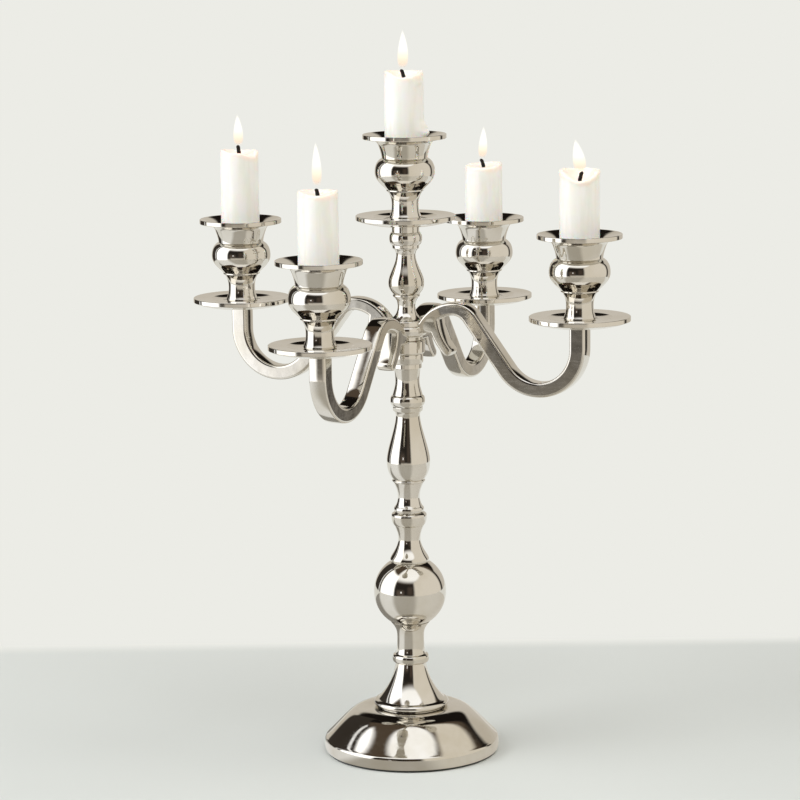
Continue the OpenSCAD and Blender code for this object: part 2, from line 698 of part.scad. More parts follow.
module candle(stand) {
    l = candle_l(stand);
    top_r = (candle_d - candle_taper) / 2;
    color(WAX) translate([0, 0, floor_z + candle_gap]) difference() {
        rotate_extrude($fn = 96) polygon(concat(
            [[0, 0], [candle_d / 2 - 0.6, 0], [candle_d / 2, 0.6]],
            bez([top_r, l - 1.4], [top_r, l - 0.4], [top_r - 0.6, l], [top_r - 1.4, l], 4),
            bez([top_r - 1.4, l], [top_r - 3, l], [top_r * 0.5, l - melt_d], [0, l - melt_d], 6),
            [[0, l - melt_d]]));
        translate([0, 0, -1]) bar_hole(wick_d, l + 2);
    }
}

module wick(stand) {
    color(CHAR) translate([0, 0, floor_z + candle_gap])
        bar_hole(wick_d, candle_l(stand) - melt_d + wick_h);
}

module in_middle() { translate([0, 0, z_middle_plate]) on_plate() children(); }
module candle_middle() { in_middle() candle(stand_middle); }
module candle_front_left() { at_arm(FRONT_LEFT, z_low) on_plate() candle(stand_front_left); }
module candle_front_right() { at_arm(FRONT_RIGHT, z_high) on_plate() candle(stand_front_right); }
module candle_back_left() { at_arm(BACK_LEFT, z_high) on_plate() candle(stand_back_left); }
module candle_back_right() { at_arm(BACK_RIGHT, z_low) on_plate() candle(stand_back_right); }
module wick_middle() { in_middle() wick(stand_middle); }
module wick_front_left() { at_arm(FRONT_LEFT, z_low) on_plate() wick(stand_front_left); }
module wick_front_right() { at_arm(FRONT_RIGHT, z_high) on_plate() wick(stand_front_right); }
module wick_back_left() { at_arm(BACK_LEFT, z_high) on_plate() wick(stand_back_left); }
module wick_back_right() { at_arm(BACK_RIGHT, z_low) on_plate() wick(stand_back_right); }

foot();
felt_ring();
foot_washer();
foot_nut();
tie_rod();
pedestal();
ball_knop();
lower_spindle();
lower_bead();
baluster_collar();
baluster();
upper_bead();
hub_seat();
lower_hub();
upper_hub();
upper_socket();
upper_baluster();
top_bead();
arm_front_left();
arm_front_right();
arm_back_left();
arm_back_right();
arm_studs();
plate_middle();
plate_front_left();
plate_front_right();
plate_back_left();
plate_back_right();
cup_middle();
cup_front_left();
cup_front_right();
cup_back_left();
cup_back_right();
candle_middle();
candle_front_left();
candle_front_right();
candle_back_left();
candle_back_right();
wick_middle();
wick_front_left();
wick_front_right();
wick_back_left();
wick_back_right();
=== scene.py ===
"""Five-light tabletop candelabra: its visible surfaces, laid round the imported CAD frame.

Sizes in the classes are in millimetres. Meshes are made in metres, in the frame's own axes:
+Z up the stem, two arms along X and two along Y.
"""

import logging
import math
from dataclasses import dataclass, field
from enum import Enum

import bpy
import numpy as np
from mathutils import Matrix, Vector


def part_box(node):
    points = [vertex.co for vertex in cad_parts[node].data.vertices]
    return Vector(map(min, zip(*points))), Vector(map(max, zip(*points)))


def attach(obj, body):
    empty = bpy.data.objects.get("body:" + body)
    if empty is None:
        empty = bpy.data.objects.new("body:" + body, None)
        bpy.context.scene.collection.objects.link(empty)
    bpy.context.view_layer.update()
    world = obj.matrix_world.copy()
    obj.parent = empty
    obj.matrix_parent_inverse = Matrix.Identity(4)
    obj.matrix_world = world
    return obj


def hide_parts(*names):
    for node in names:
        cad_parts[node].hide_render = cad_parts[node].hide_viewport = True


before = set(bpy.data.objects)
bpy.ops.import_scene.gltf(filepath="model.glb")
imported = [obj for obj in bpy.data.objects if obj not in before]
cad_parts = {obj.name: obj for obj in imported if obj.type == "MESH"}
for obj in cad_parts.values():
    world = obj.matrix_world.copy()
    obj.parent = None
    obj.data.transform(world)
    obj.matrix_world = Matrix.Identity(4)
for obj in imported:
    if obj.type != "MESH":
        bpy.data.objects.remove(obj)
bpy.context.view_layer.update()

Array = np.ndarray
Pair = tuple[float, float]
Piece, Material = bpy.types.Object, bpy.types.Material
Tree, Node, Socket = bpy.types.NodeTree, bpy.types.Node, bpy.types.NodeSocket
MM = 0.001
SAME_POINT = 1e-4
CORNER = math.radians(24)
log = logging.getLogger("candelabra")


class Light(Enum):
    """The five lights, by where they stand."""

    MIDDLE = "middle"
    FRONT_LEFT = "front_left"
    FRONT_RIGHT = "front_right"
    BACK_LEFT = "back_left"
    BACK_RIGHT = "back_right"


# ---- Outlines and surfaces


def bezier(a: Pair, b: Pair, c: Pair, d: Pair, steps: int = 16) -> Array:
    """Cubic stretch of an outline.

    The point at t is a(1-t)^3 + 3b(1-t)^2 t + 3c(1-t)t^2 + d t^3.

    Args:
        a, b, c, d: the start, its handle, the end's handle and the end.
        steps: pieces that the stretch is cut into.

    Returns:
        Points as rows of (radius, height).
    """
    t = np.linspace(0, 1, steps + 1)[:, None]
    a, b, c, d = (np.asarray(p, float) for p in (a, b, c, d))
    return a * (1 - t) ** 3 + 3 * b * (1 - t) ** 2 * t + 3 * c * (1 - t) * t**2 + d * t**3


def moulding(inner: float, outer: float, low: float, high: float, steps: int = 16) -> Array:
    """Half-round moulding: radius is inner + (outer - inner) cos a, height runs as sin a.

    Args:
        inner, outer: radii at the edges and at the middle of the bulge.
        low, high: heights of the two edges.
        steps: pieces that the half round is cut into.

    Returns:
        Points as rows of (radius, height).
    """
    a = np.linspace(-math.pi / 2, math.pi / 2, steps + 1)
    return np.stack([inner + (outer - inner) * np.cos(a),
                     (low + high) / 2 + (high - low) / 2 * np.sin(a)], -1)


def path(*strokes: tuple | list | Array) -> Array:
    """Outline drawn stroke by stroke.

    Args:
        strokes: each is a point, an array of points, or the two handles and the end of a cubic
            that starts where the stroke before ended, with its count of pieces if not 16.

    Returns:
        Points as rows of (radius, height), with none repeated.
    """
    points = []
    for stroke in strokes:
        if isinstance(stroke, tuple) and isinstance(stroke[0], tuple):
            stroke = bezier(points[-1], *stroke)
        points += np.reshape(stroke, (-1, 2)).tolist()
    points = np.array(points)
    gap = np.linalg.norm(points - np.roll(points, 1, 0), axis=1)
    return points[gap > SAME_POINT]


def softened(loop: Array, fillet: float) -> Array:
    """Closed outline with its corners broken.

    A corner P between unit directions u and v becomes P + reach ((1-s)^2 u + s^2 v) for s from
    0 to 1, with one more point on each straight side that keeps the side's own normal.

    Args:
        loop: outline as rows of (radius, height).
        fillet: how far from a corner its rounding starts.

    Returns:
        The outline with rounded corners.
    """
    back, ahead = np.roll(loop, 1, 0) - loop, np.roll(loop, -1, 0) - loop
    lb, la = np.linalg.norm(back, axis=1), np.linalg.norm(ahead, axis=1)
    u, v = back / lb[:, None], ahead / la[:, None]
    turn = np.arccos(np.clip(-(u * v).sum(1), -1, 1))
    reach = np.where(turn > CORNER, np.minimum(fillet, 0.35 * np.minimum(lb, la)), 0)
    s = np.linspace(0, 1, 5)
    to_u = np.concatenate([[1.3], (1 - s) ** 2, [0]])[None, :, None]
    to_v = np.concatenate([[0], s**2, [1.3]])[None, :, None]
    points = loop[:, None] + reach[:, None, None] * (to_u * u[:, None] + to_v * v[:, None])
    kept = (reach[:, None] > 0) | (np.arange(points.shape[1])[None] == 0)
    return points[kept]


def revolved(outline: Array, segments: int) -> Array:
    """Surface of revolution: the point at angle a is (r cos a, r sin a, z).

    Args:
        outline: rows of (radius, height), with the material on its left.
        segments: how many columns the circle is cut into.

    Returns:
        Grid of points, one row for each outline point.
    """
    a = around(segments)
    r, z = outline[:, :1], outline[:, 1:]
    return np.stack([r * np.cos(a), r * np.sin(a), z + 0 * a], -1)


def solid(name: str, grid: Array, place: Vector | None = None, poles: bool = False,
          caps: bool = False) -> Piece:
    """Closed mesh from a grid of points whose columns run all the way round.

    Args:
        name: the piece's name.
        grid: points in millimetres, shaped rows, columns, 3.
        place: where the grid's origin lies, in metres.
        poles: the first and last rows close on one point each; otherwise the last row joins
            the first.
        caps: the first and last rows are filled with one flat face each.

    Returns:
        The new object, at the origin.
    """
    rows, columns = grid.shape[:2]
    points = grid.reshape(-1, 3)
    i = np.arange(rows - 1 if poles or caps else rows)[:, None]
    j = np.arange(columns)[None]
    below, above = i * columns, (i + 1) % rows * columns
    after = (j + 1) % columns
    faces = np.stack([below + j, below + after, above + after, above + j], -1)
    faces = faces.reshape(-1, 4).tolist()
    ring = np.arange(columns)
    if poles:
        points = np.vstack([points, grid[0].mean(0), grid[-1].mean(0)])
        first, last = rows * columns, rows * columns + 1
        turn = (ring + 1) % columns
        top = (rows - 1) * columns
        faces += np.stack([turn, ring, 0 * ring + first], -1).tolist()
        faces += np.stack([top + ring, top + turn, 0 * ring + last], -1).tolist()
    if caps:
        faces += [ring[::-1].tolist(), ((rows - 1) * columns + ring).tolist()]
    mesh = bpy.data.meshes.new(name)
    mesh.from_pydata((points * MM + np.array(place or (0, 0, 0))).tolist(), [], faces)
    mesh.shade_smooth()
    mesh.validate()
    return put(name, mesh)


def turned(name: str, outline: Array, fillet: float, segments: int,
           place: Vector | None = None) -> Piece:
    """Piece turned on a lathe.

    Args:
        name: the piece's name.
        outline: closed outline, rows of (radius, height).
        fillet: how far from a corner its rounding starts.
        segments: columns round the axis.
        place: where the outline's origin lies, in metres.

    Returns:
        The new object.
    """
    return solid(name, revolved(softened(outline, fillet), segments), place)


def mark(piece: Piece, name: str, values: Array) -> None:
    """Stores one number for each point of a piece, for its material to read."""
    attribute = piece.data.attributes.new(name, "FLOAT", "POINT")
    attribute.data.foreach_set("value", values.astype(np.float32).ravel())


def stand_in(piece: Piece, body: str, slot: str, material: Material,
             *nodes: str) -> Piece:
    """Dresses a piece, fixes it to its body and lets it stand for its CAD nodes.

    Args:
        piece: the piece.
        body: the body that it moves with.
        slot: not used.
        material: its finish.
        nodes: the CAD nodes that it stands for.

    Returns:
        The same piece.
    """
    piece.data.materials.append(material)
    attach(piece, body)
    if nodes:
        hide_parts(*nodes)
    log.info("%s: %d faces on %s", piece.name, len(piece.data.polygons), body)
    return piece


def middle_of(node: str) -> Vector:
    """Middle of a CAD node's underside, in metres."""
    low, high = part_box(node)
    return Vector(((low.x + high.x) / 2, (low.y + high.y) / 2, low.z))


def around(columns: int) -> Array:
    """Angles of the columns round a circle, from 0 up to but not with a full turn."""
    return np.linspace(0, 2 * math.pi, columns, endpoint=False)


def put(name: str, data: bpy.types.ID) -> Piece:
    """New object in the scene, with a mesh, a lamp or a camera in it."""
    made = bpy.data.objects.new(name, data)
    bpy.context.scene.collection.objects.link(made)
    return made


def smooth(x: Array) -> Array:
    """Smooth step from 0 to 1: 3x^2 - 2x^3 with x held between 0 and 1."""
    x = np.clip(x, 0, 1)
    return x * x * (3 - 2 * x)


def near(angle: Array, centre: float, width: float) -> Array:
    """Bell curve round a circle: exp(-(d / width)^2), d the shorter way round, in degrees."""
    d = (angle - centre + 180) % 360 - 180
    return np.exp(-((d / width) ** 2))


# ---- Finishes


def linear(code: str, alpha: float = 1.0) -> tuple[float, float, float, float]:
    """Colour from sRGB hex to linear light, by the sRGB curve.

    Args:
        code: the colour as #RRGGBB.
        alpha: the fourth number.

    Returns:
        Red, green, blue and alpha.
    """
    rgb = np.array([int(code[i:i + 2], 16) / 255 for i in (1, 3, 5)])
    rgb = np.where(rgb <= 0.04045, rgb / 12.92, ((rgb + 0.055) / 1.055) ** 2.4)
    return (*rgb.tolist(), alpha)


def feed(node: Node, inputs: dict | tuple) -> None:
    """Sets a node's inputs.

    Args:
        node: the node.
        inputs: values or other nodes' outputs, in the sockets' order or by name or number.
    """
    named = inputs if isinstance(inputs, dict) else dict(enumerate(inputs))
    for name, value in named.items():
        if isinstance(value, Socket):
            node.id_data.links.new(value, node.inputs[name])
        else:
            node.inputs[name].default_value = value


def add(tree: Tree, kind: str, inputs: dict | tuple = (), out: int | str = 0,
        **settings: object) -> Socket:
    """Adds a node with its settings and links.

    Args:
        tree: the node tree.
        kind: the node's type name without its ShaderNode.
        inputs: as feed takes them.
        out: the output that is wanted, by number or name.
        settings: properties of the node.

    Returns:
        The wanted output.
    """
    node = tree.nodes.new(f"ShaderNode{kind}")
    for name, value in settings.items():
        setattr(node, name, value)
    feed(node, inputs)
    return node.outputs[out]


def noise(tree: Tree, size_mm: float, detail: float = 2,
          stretch: tuple[float, float, float] = (1, 1, 1)) -> Socket:
    """Noise on Object coordinates.

    Args:
        tree: the node tree.
        size_mm: how wide its blotches are.
        detail: how many finer layers lie on top.
        stretch: how much longer the blotches are along each axis.

    Returns:
        A share from 0 to 1.
    """
    place = add(tree, "TexCoord", out="Object")
    scale = [1 / (size_mm * MM * s) for s in stretch]
    mapped = add(tree, "Mapping", {"Vector": place, "Scale": scale})
    return add(tree, "TexNoise", {"Vector": mapped, "Scale": 1.0, "Detail": detail}, "Fac")


STEP = {"interpolation_type": "SMOOTHSTEP"}
COLOUR = {"data_type": "RGBA"}


@dataclass(frozen=True)
class Finish:
    """A surface finish, named for the real material."""

    name: str

    def material(self) -> Material:
        """The finish's material, made once.

        Returns:
            The material.
        """
        found = bpy.data.materials.get(self.name)
        if found:
            return found
        made = bpy.data.materials.new(self.name)
        made.use_nodes = True
        self.paint(made.node_tree, made.node_tree.nodes["Principled BSDF"])
        return made

    def paint(self, tree: Tree, shader: Node) -> None:
        """Sets the shader's sockets and adds the pattern nodes.

        Args:
            tree: the material's node tree.
            shader: its Principled node.
        """
        raise NotImplementedError

    @staticmethod
    def bumps(shader: Node, *layers: tuple[Socket, float]) -> None:
        """Stacks bump layers, each a height from 0 to 1 and its depth in millimetres.

        Args:
            shader: the Principled node.
            layers: heights with their depths.
        """
        under = {}
        for height, depth in layers:
            inputs = {"Height": height, "Distance": depth * MM, "Strength": 1.0, **under}
            under = {"Normal": add(shader.id_data, "Bump", inputs)}
        feed(shader, under)


@dataclass(frozen=True)
class BrightNickel(Finish):
    """Cast brass, ground, buffed and bright nickel plated: a warm mirror, a little wavy from
    the buffing wheel, with faint wipe marks that blur it unevenly."""

    name: str = "bright_nickel_plate"
    drift_mm: float = 24.0
    wave_mm: float = 11.0
    dimple_mm: float = 3.6
    wipe_mm: float = 1.2
    grain_mm: float = 0.5

    def paint(self, tree: Tree, shader: Node) -> None:
        """Mirror metal: slow colour drift, uneven roughness, buffing waves and fine grain."""
        tint = add(tree, "MapRange", (noise(tree, self.drift_mm, 3), 0.35, 0.7, 0, 1), **STEP)
        wipe = noise(tree, self.wipe_mm, 4, (6, 6, 1))
        feed(shader, {
            "Metallic": 1.0,
            "Base Color": add(tree, "Mix", {0: tint, 6: linear("#E4E1DB"),
                                            7: linear("#D9D4C9")}, 2, **COLOUR),
            "Roughness": add(tree, "MapRange", (wipe, 0.3, 0.75, 0.035, 0.10), **STEP)})
        self.bumps(shader, (noise(tree, self.wave_mm, 1.5), 0.045),
                   (noise(tree, self.dimple_mm, 1), 0.007),
                   (noise(tree, self.grain_mm, 2), 0.0006))


@dataclass(frozen=True)
class ZincSteel(Finish):
    """Turned mild steel, zinc plated: a dull bluish white metal with fine tool lines."""

    name: str = "zinc_plated_steel"
    mottle_mm: float = 3.0
    tool_line_mm: float = 0.35

    def paint(self, tree: Tree, shader: Node) -> None:
        """Satin metal with a mottled passivation colour."""
        mottle = noise(tree, self.mottle_mm, 4)
        feed(shader, {
            "Metallic": 1.0,
            "Base Color": add(tree, "Mix", {0: mottle, 6: linear("#A9ADB1"),
                                            7: linear("#C6C6BE")}, 2, **COLOUR),
            "Roughness": add(tree, "MapRange", (mottle, 0.3, 0.7, 0.28, 0.42), **STEP)})
        self.bumps(shader, (noise(tree, self.tool_line_mm, 3, (4, 4, 1)), 0.01))


@dataclass(frozen=True)
class PressedFelt(Finish):
    """Pressed wool felt, die cut and glued: matt, with short crossed fibres and a soft bloom
    of light at its edges."""

    name: str = "pressed_wool_felt"
    fibre_mm: float = 0.3

    def paint(self, tree: Tree, shader: Node) -> None:
        """Dark matt fibres, drawn coarser than wool so that they show."""
        fibre = noise(tree, self.fibre_mm, 4, (1, 1, 2))
        feed(shader, {
            "Base Color": add(tree, "Mix", {0: fibre, 6: linear("#15191A"),
                                            7: linear("#2C3331")}, 2, **COLOUR),
            "Roughness": 0.95, "Sheen Weight": 0.5, "Sheen Roughness": 0.6})
        self.bumps(shader, (fibre, 0.12))


@dataclass(frozen=True)
class CandleWax(Finish):
    """Ivory paraffin wax, drawn and dipped: light goes a few millimetres into it, the dipping
    leaves pale upright streaks, and it turns clear and smooth where it has melted. The rosy
    tint and the faint glow of the wax, strongest at the top, are painted light: the flame's glow
    on the wax."""

    name: str = "ivory_candle_wax"
    streak_mm: float = 4.0
    cloud_mm: float = 3.0
    wave_mm: float = 5.0
    grain_mm: float = 0.8

    def paint(self, tree: Tree, shader: Node) -> None:
        """Ivory with upright streaks. Towards the top, as the per-point attribute rises, it gets
        lower roughness and painted flame glow: a rosy tint and more of the faint emission that
        the whole wax has.
        """
        streaks = noise(tree, self.streak_mm, 3, (1, 1, 9))
        clear = add(tree, "MapRange", (streaks, 0.34, 0.66, 0, 1), **STEP)
        body = add(tree, "Mix", {0: clear, 6: linear("#F2F3EC"), 7: linear("#FAFAF6")}, 2,
                   **COLOUR)
        # Painted light: rosy tint that stands in for the flame's glow on the top of the wax.
        painted_flame_glow = add(tree, "Mix", {0: noise(tree, self.cloud_mm, 2), 6: linear("#F4DFD3"),
                                 7: linear("#F6E9DE")}, 2, **COLOUR)
        melt_and_glow = add(tree, "Attribute", out="Fac", attribute_name="melt_and_glow")
        colour = add(tree, "Mix", {0: melt_and_glow, 6: body, 7: painted_flame_glow}, 2, **COLOUR)
        feed(shader, {
            "Base Color": colour, "Emission Color": colour, "IOR": 1.44,
            # Painted glow: the wax emits a little everywhere and more at the top, as if lit by
            # the flame.
            "Emission Strength": add(tree, "MapRange", (melt_and_glow, 0, 1, 0.05, 0.15), **STEP),
            "Roughness": add(tree, "MapRange", (melt_and_glow, 0, 1, 0.46, 0.24), **STEP),
            "Subsurface Weight": 0.55, "Subsurface Radius": (1.0, 0.62, 0.42),
            "Subsurface Scale": 4 * MM})
        self.bumps(shader, (noise(tree, self.wave_mm, 2, (1, 1, 3)), 0.06),
                   (noise(tree, self.grain_mm, 2), 0.012))


@dataclass(frozen=True)
class CharredCotton(Finish):
    """Braided cotton wick, burnt: matt soot over a coarse braid."""

    name: str = "charred_cotton_braid"
    braid_mm: float = 0.6

    def paint(self, tree: Tree, shader: Node) -> None:
        """Soot black with a faint brown where the braid stands up."""
        braid = noise(tree, self.braid_mm, 3)
        raised = add(tree, "MapRange", (braid, 0.4, 0.7, 0, 1), **STEP)
        feed(shader, {
            "Base Color": add(tree, "Mix", {0: raised, 6: linear("#080706"),
                                            7: linear("#231A14")}, 2, **COLOUR),
            "Roughness": 0.92})
        self.bumps(shader, (braid, 0.25))


@dataclass(frozen=True)
class CandleFlame(Finish):
    """Glowing soot in hot gas: clear at the wick, amber over it and nearly white above."""

    name: str = "candle_flame"
    strength: float = 1.15

    def paint(self, tree: Tree, shader: Node) -> None:
        """Light by the attribute rise_share, 0 at the wick and 1 at the tip, with its own
        cover."""
        rise = add(tree, "Attribute", out="Fac", attribute_name="rise_share")
        glow = add(tree, "ValToRGB", (rise,))
        stops = glow.node.color_ramp.elements
        stops[0].position, stops[0].color = 0.10, linear("#F4D5BA")
        stops[1].position, stops[1].color = 0.94, linear("#FFFDF2")
        for place, code in ((0.26, "#FBE3CA"), (0.42, "#FFF6E0"), (0.56, "#FFFFF8")):
            stops.new(place).color = linear(code)
        feed(shader, {
            "Base Color": (0, 0, 0, 1), "Roughness": 1.0, "Specular IOR Level": 0.0,
            "Emission Color": glow, "Emission Strength": self.strength,
            "Alpha": add(tree, "Attribute", out="Fac", attribute_name="cover")})


NICKEL, STEEL, FELT = BrightNickel(), ZincSteel(), PressedFelt()
WAX, CHAR, FLAME = CandleWax(), CharredCotton(), CandleFlame()


# ---- Foot


@dataclass
class Foot:
    """Hollow domed foot with its felt ring and the hardware inside it."""

    rim_r: float = 53.6
    height: float = 27.3
    band_h: float = 7.4
    wall: float = 3.0
    top_r: float = 20.0
    crown: Pair = (36.0, 24.4)
    felt_w: float = 7.0
    bore_r: float = 3.3
    felt_inset: float = 1.6
    nut_af: float = 10.0
    nut_columns: int = 96
    nut_crease: float = 28.0
    rod_r: float = 3.0

    def dome(self, shoulder: Pair, crown: Pair, end: Pair) -> Array:
        """The dome's side.

        Args:
            shoulder: where it leaves the rim band.
            crown: the middle of its slope.
            end: where it meets the flat top.

        Returns:
            Points from the shoulder inwards and up.
        """
        rise = min(2.9, end[1] - crown[1])
        return path(
            shoulder, ((shoulder[0] - 6.4, shoulder[1] + 6.2),
                       (crown[0] + 4.5, crown[1] - 2.9), crown, 26),
            ((crown[0] - 4.5, crown[1] + rise), (crown[0] - 9, end[1]), end))

    def outline(self) -> Array:
        """Closed outline of the foot, rim, dome, bore and hollow.

        Returns:
            Rows of (radius, height).
        """
        r, h, inner = self.rim_r, self.height, self.rim_r - self.felt_w
        shoulder = (r - 1.2, self.band_h + 1.2)
        ceiling = h - self.wall - 1
        hollow = self.dome((inner, self.band_h + 0.4),
                           (self.crown[0] - self.wall, self.crown[1] - self.wall - 1),
                           (self.top_r - 4, ceiling))
        return path(
            (inner, 0), (r - 1.6, 0), ((r - 0.4, 0.4), (r, 1.4), (r, self.band_h / 2), 10),
            ((r, self.band_h), (r - 0.3, self.band_h + 0.5), shoulder, 10),
            self.dome(shoulder, self.crown, (self.top_r, h)), (self.bore_r, h),
            (self.bore_r, ceiling), hollow[::-1], (inner, self.band_h - 1))

    def nut_grid(self, low: float, high: float) -> Array:
        """Hexagon nut, chamfered: at each angle the radius is the smaller of the hexagon's,
        half the flats over cos of the angle from a flat's middle, and the chamfer's cone.

        Args:
            low, high: heights of its two faces.

        Returns:
            Grid of points.
        """
        a = around(self.nut_columns)
        flat = self.nut_af / 2 / np.cos((a % (math.pi / 3)) - math.pi / 6)
        corner = self.nut_af / 2 / math.cos(math.pi / 6)
        rows = [(-0.62, low), (-0.55, low + 0.03), (0, low + 0.36), (0.1, low + 0.5),
                (0.1, high - 0.5), (0, high - 0.36), (-0.55, high - 0.03), (-0.62, high)]
        outer = [np.stack([np.minimum(flat, corner + d), z + 0 * a], -1) for d, z in rows]
        hole = [np.stack([r + 0 * a, z + 0 * a], -1)
                for r, z in ((self.rod_r + 0.3, high), (self.rod_r, high - 0.3),
                             (self.rod_r, low + 0.3), (self.rod_r + 0.3, low))]
        rz = np.array(outer + hole)
        return np.stack([rz[..., 0] * np.cos(a), rz[..., 0] * np.sin(a), rz[..., 1]], -1)

    def flat_ring(self, node: str, name: str, inner: float, outer: float,
                  fillet: float, segments: int) -> Piece:
        """Flat ring as high as its CAD node.

        Args:
            node: the CAD node.
            name: the piece's name.
            inner, outer: its radii.
            fillet: how far its edges are broken.
            segments: columns round the axis.

        Returns:
            The new object.
        """
        low, high = (p.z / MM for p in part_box(node))
        corners = [(inner, low), (outer, low), (outer, high), (inner, high)]
        return turned(name, np.array(corners), fillet, segments)

    def build(self) -> None:
        """Makes and dresses the foot, the felt ring, the washer and the nut."""
        foot = turned("foot_shell", self.outline(), 0.5, 192, middle_of("foot"))
        stand_in(foot, "root", "nickel_plate", NICKEL.material(), "foot")
        felt = self.flat_ring("felt_ring", "felt_pad", self.rim_r - self.felt_w,
                              self.rim_r - self.felt_inset, 0.35, 192)
        stand_in(felt, "root", "felt", FELT.material(), "felt_ring")
        washer = self.flat_ring("foot_washer", "plain_washer", self.bore_r,
                                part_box("foot_washer")[1].x / MM, 0.3, 96)
        stand_in(washer, "root", "zinc_steel", STEEL.material(), "foot_washer")
        nut = solid("hexagon_nut", self.nut_grid(*(p.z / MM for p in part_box("foot_nut"))))
        nut.data.set_sharp_from_angle(angle=math.radians(self.nut_crease))
        stand_in(nut, "root", "zinc_steel", STEEL.material(), "foot_nut")


# ---- Stem


@dataclass
class Stem:
    """Turned pieces threaded on the tie rod, from the foot up to the middle plate."""

    bore_r: float = 3.3
    waist_r: float = 6.7
    neck_r: float = 8.2
    collar_r: float = 23.0
    pedestal_h: float = 53.0
    ring_z: float = 27.5
    ball_r: float = 22.2
    seat_r: float = 11.6
    spindle_h: float = 22.6
    bead_h: float = 8.0
    bead_r: float = 10.8
    upper_bead_h: float = 7.0
    upper_bead_r: float = 10.5
    collar_h: float = 19.0
    baluster_h: float = 46.6
    baluster_r: float = 13.2
    seat_h: float = 25.8
    hub_r: float = 10.9
    lower_hub_h: float = 8.0
    upper_hub_h: float = 9.0
    hub_collar_r: float = 13.1
    socket_h: float = 17.2
    upper_baluster_h: float = 29.1
    upper_baluster_r: float = 10.8
    top_bead_h: float = 13.9
    segments: int = 128

    def pedestal(self) -> Array:
        """Bell pedestal with a rolled collar, a ring over the bell and a flared top.

        Returns:
            Its outer side, from the bottom up.
        """
        n, c, h = self.neck_r, self.collar_r, self.pedestal_h
        low, top, ring_r = self.ring_z, self.ring_z + 5, self.neck_r + 2.8
        return path(
            (c - 2.8, 0), (c - 2.8, 0.4), ((c + 0.9, 0.5), (c + 0.9, 4.1), (c - 2.6, 4.7)),
            ((c - 7.5, 9.5), (n + 2.4, 17.5), (n + 0.9, low), 24), (ring_r - 0.8, low),
            ((ring_r + 0.5, low + 0.4), (ring_r + 0.5, top - 0.4), (ring_r - 0.8, top), 14),
            (n + 1.1, top + 0.4), ((n, top + 3), (n, h - 11), (n + 0.1, h - 7.5), 10),
            ((n + 0.3, h - 4.5), (n + 1.7, h - 2.6), (self.seat_r + 0.5, h), 12))

    def ball(self) -> Array:
        """Ball knop between two flat seats.

        Returns:
            Its outer side, from the bottom up.
        """
        half = math.sqrt(self.ball_r**2 - self.seat_r**2)
        end = math.acos(self.seat_r / self.ball_r)
        a = np.linspace(-end, end, 57)
        return np.stack([self.ball_r * np.cos(a), half + self.ball_r * np.sin(a)], -1)

    def spindle(self) -> Array:
        """Waisted spindle over the ball.

        Returns:
            Its outer side, from the bottom up.
        """
        w, h, seat = self.waist_r, self.spindle_h, self.seat_r
        return path((seat + 0.2, 0), (seat + 0.4, 1.2),
                    ((seat + 0.2, 3.4), (w + 1.7, 6.4), (w + 0.4, 11.5)),
                    ((w - 0.3, 15), (w, h - 5.4), (w + 2.4, h)))

    def bead(self, h: float, r: float, peak: float) -> Array:
        """Bead ring.

        Args:
            h, r: its height and its largest radius.
            peak: the height where it is fullest.

        Returns:
            Its outer side.
        """
        return path((r - 1.5, 0), (r - 1.2, 0.4),
                    ((r - 0.3, peak * 0.3), (r, peak * 0.6), (r, peak), 10),
                    ((r, h - (h - peak) * 0.4), (r - 0.4, h - 0.8), (r - 1.1, h - 0.3), 10),
                    (r - 1.5, h))

    def collar(self) -> Array:
        """Small moulding and a flared waist under the baluster.

        Returns:
            Its outer side, from the bottom up.
        """
        w, h = self.waist_r, self.collar_h
        return path(moulding(w + 1.7, w + 2.5, 0, 3.6, 10),
                    ((w + 0.5, 5.4), (w, 7.4), (w, 10)),
                    ((w + 0.1, 13), (w + 0.9, h - 3.2), (w + 2.9, h)))

    def baluster(self) -> Array:
        """Baluster with a full belly that draws in to a long neck.

        Returns:
            Its outer side, from the bottom up.
        """
        w, h, r = self.waist_r, self.baluster_h, self.baluster_r
        belly = h * 0.27
        return path(moulding(w + 2.7, w + 3.4, 0, 1.4, 8), (w + 2.8, 1.4),
                    ((w + 4.8, 4), (r, 7), (r, belly)),
                    ((r, belly + 7.5), (w + 1.2, h - 14.5), (w + 0.6, h - 6.4), 26),
                    ((w + 0.5, h - 4.4), (w + 1.2, h - 3.4), (w + 2.2, h - 2.6), 8),
                    (w + 2.4, h))

    def seat(self) -> Array:
        """Waisted seat with a stepped top under the hubs.

        Returns:
            Its outer side, from the bottom up.
        """
        w, h, top = self.waist_r, self.seat_h, self.hub_r
        step = h - 9.4
        return path((w + 2.4, 0), ((w + 1.7, 3), (w + 0.6, 5.4), (w + 0.6, 8.8)),
                    ((w + 0.6, 10.4), (w + 0.9, step - 2), (w + 1.3, step), 8),
                    (w + 2, step + 0.2), (w + 2, step + 3.2), (top - 1.4, step + 3.4),
                    (top - 1.2, step + 4.2), (top - 1.2, h - 0.8), (top - 1.6, h))

    def lower_hub(self) -> Array:
        """Plain ring that the lower pair of arms is brazed to."""
        r, h = self.hub_r, self.lower_hub_h
        return path((r - 0.6, 0), (r, 0.6), (r, h - 0.6), (r - 0.6, h))

    def upper_hub(self) -> Array:
        """Ring with a rounded collar for the upper pair of arms.

        Returns:
            Its outer side, from the bottom up.
        """
        r, h, full = self.hub_r, self.upper_hub_h, self.hub_collar_r + 0.7
        return path((r - 1.6, 0), (r - 1.2, 0.4), (r - 1.2, h - 6.6), (r - 0.8, h - 6),
                    ((full, h - 6), (full, h), (r + 0.8, h), 20))

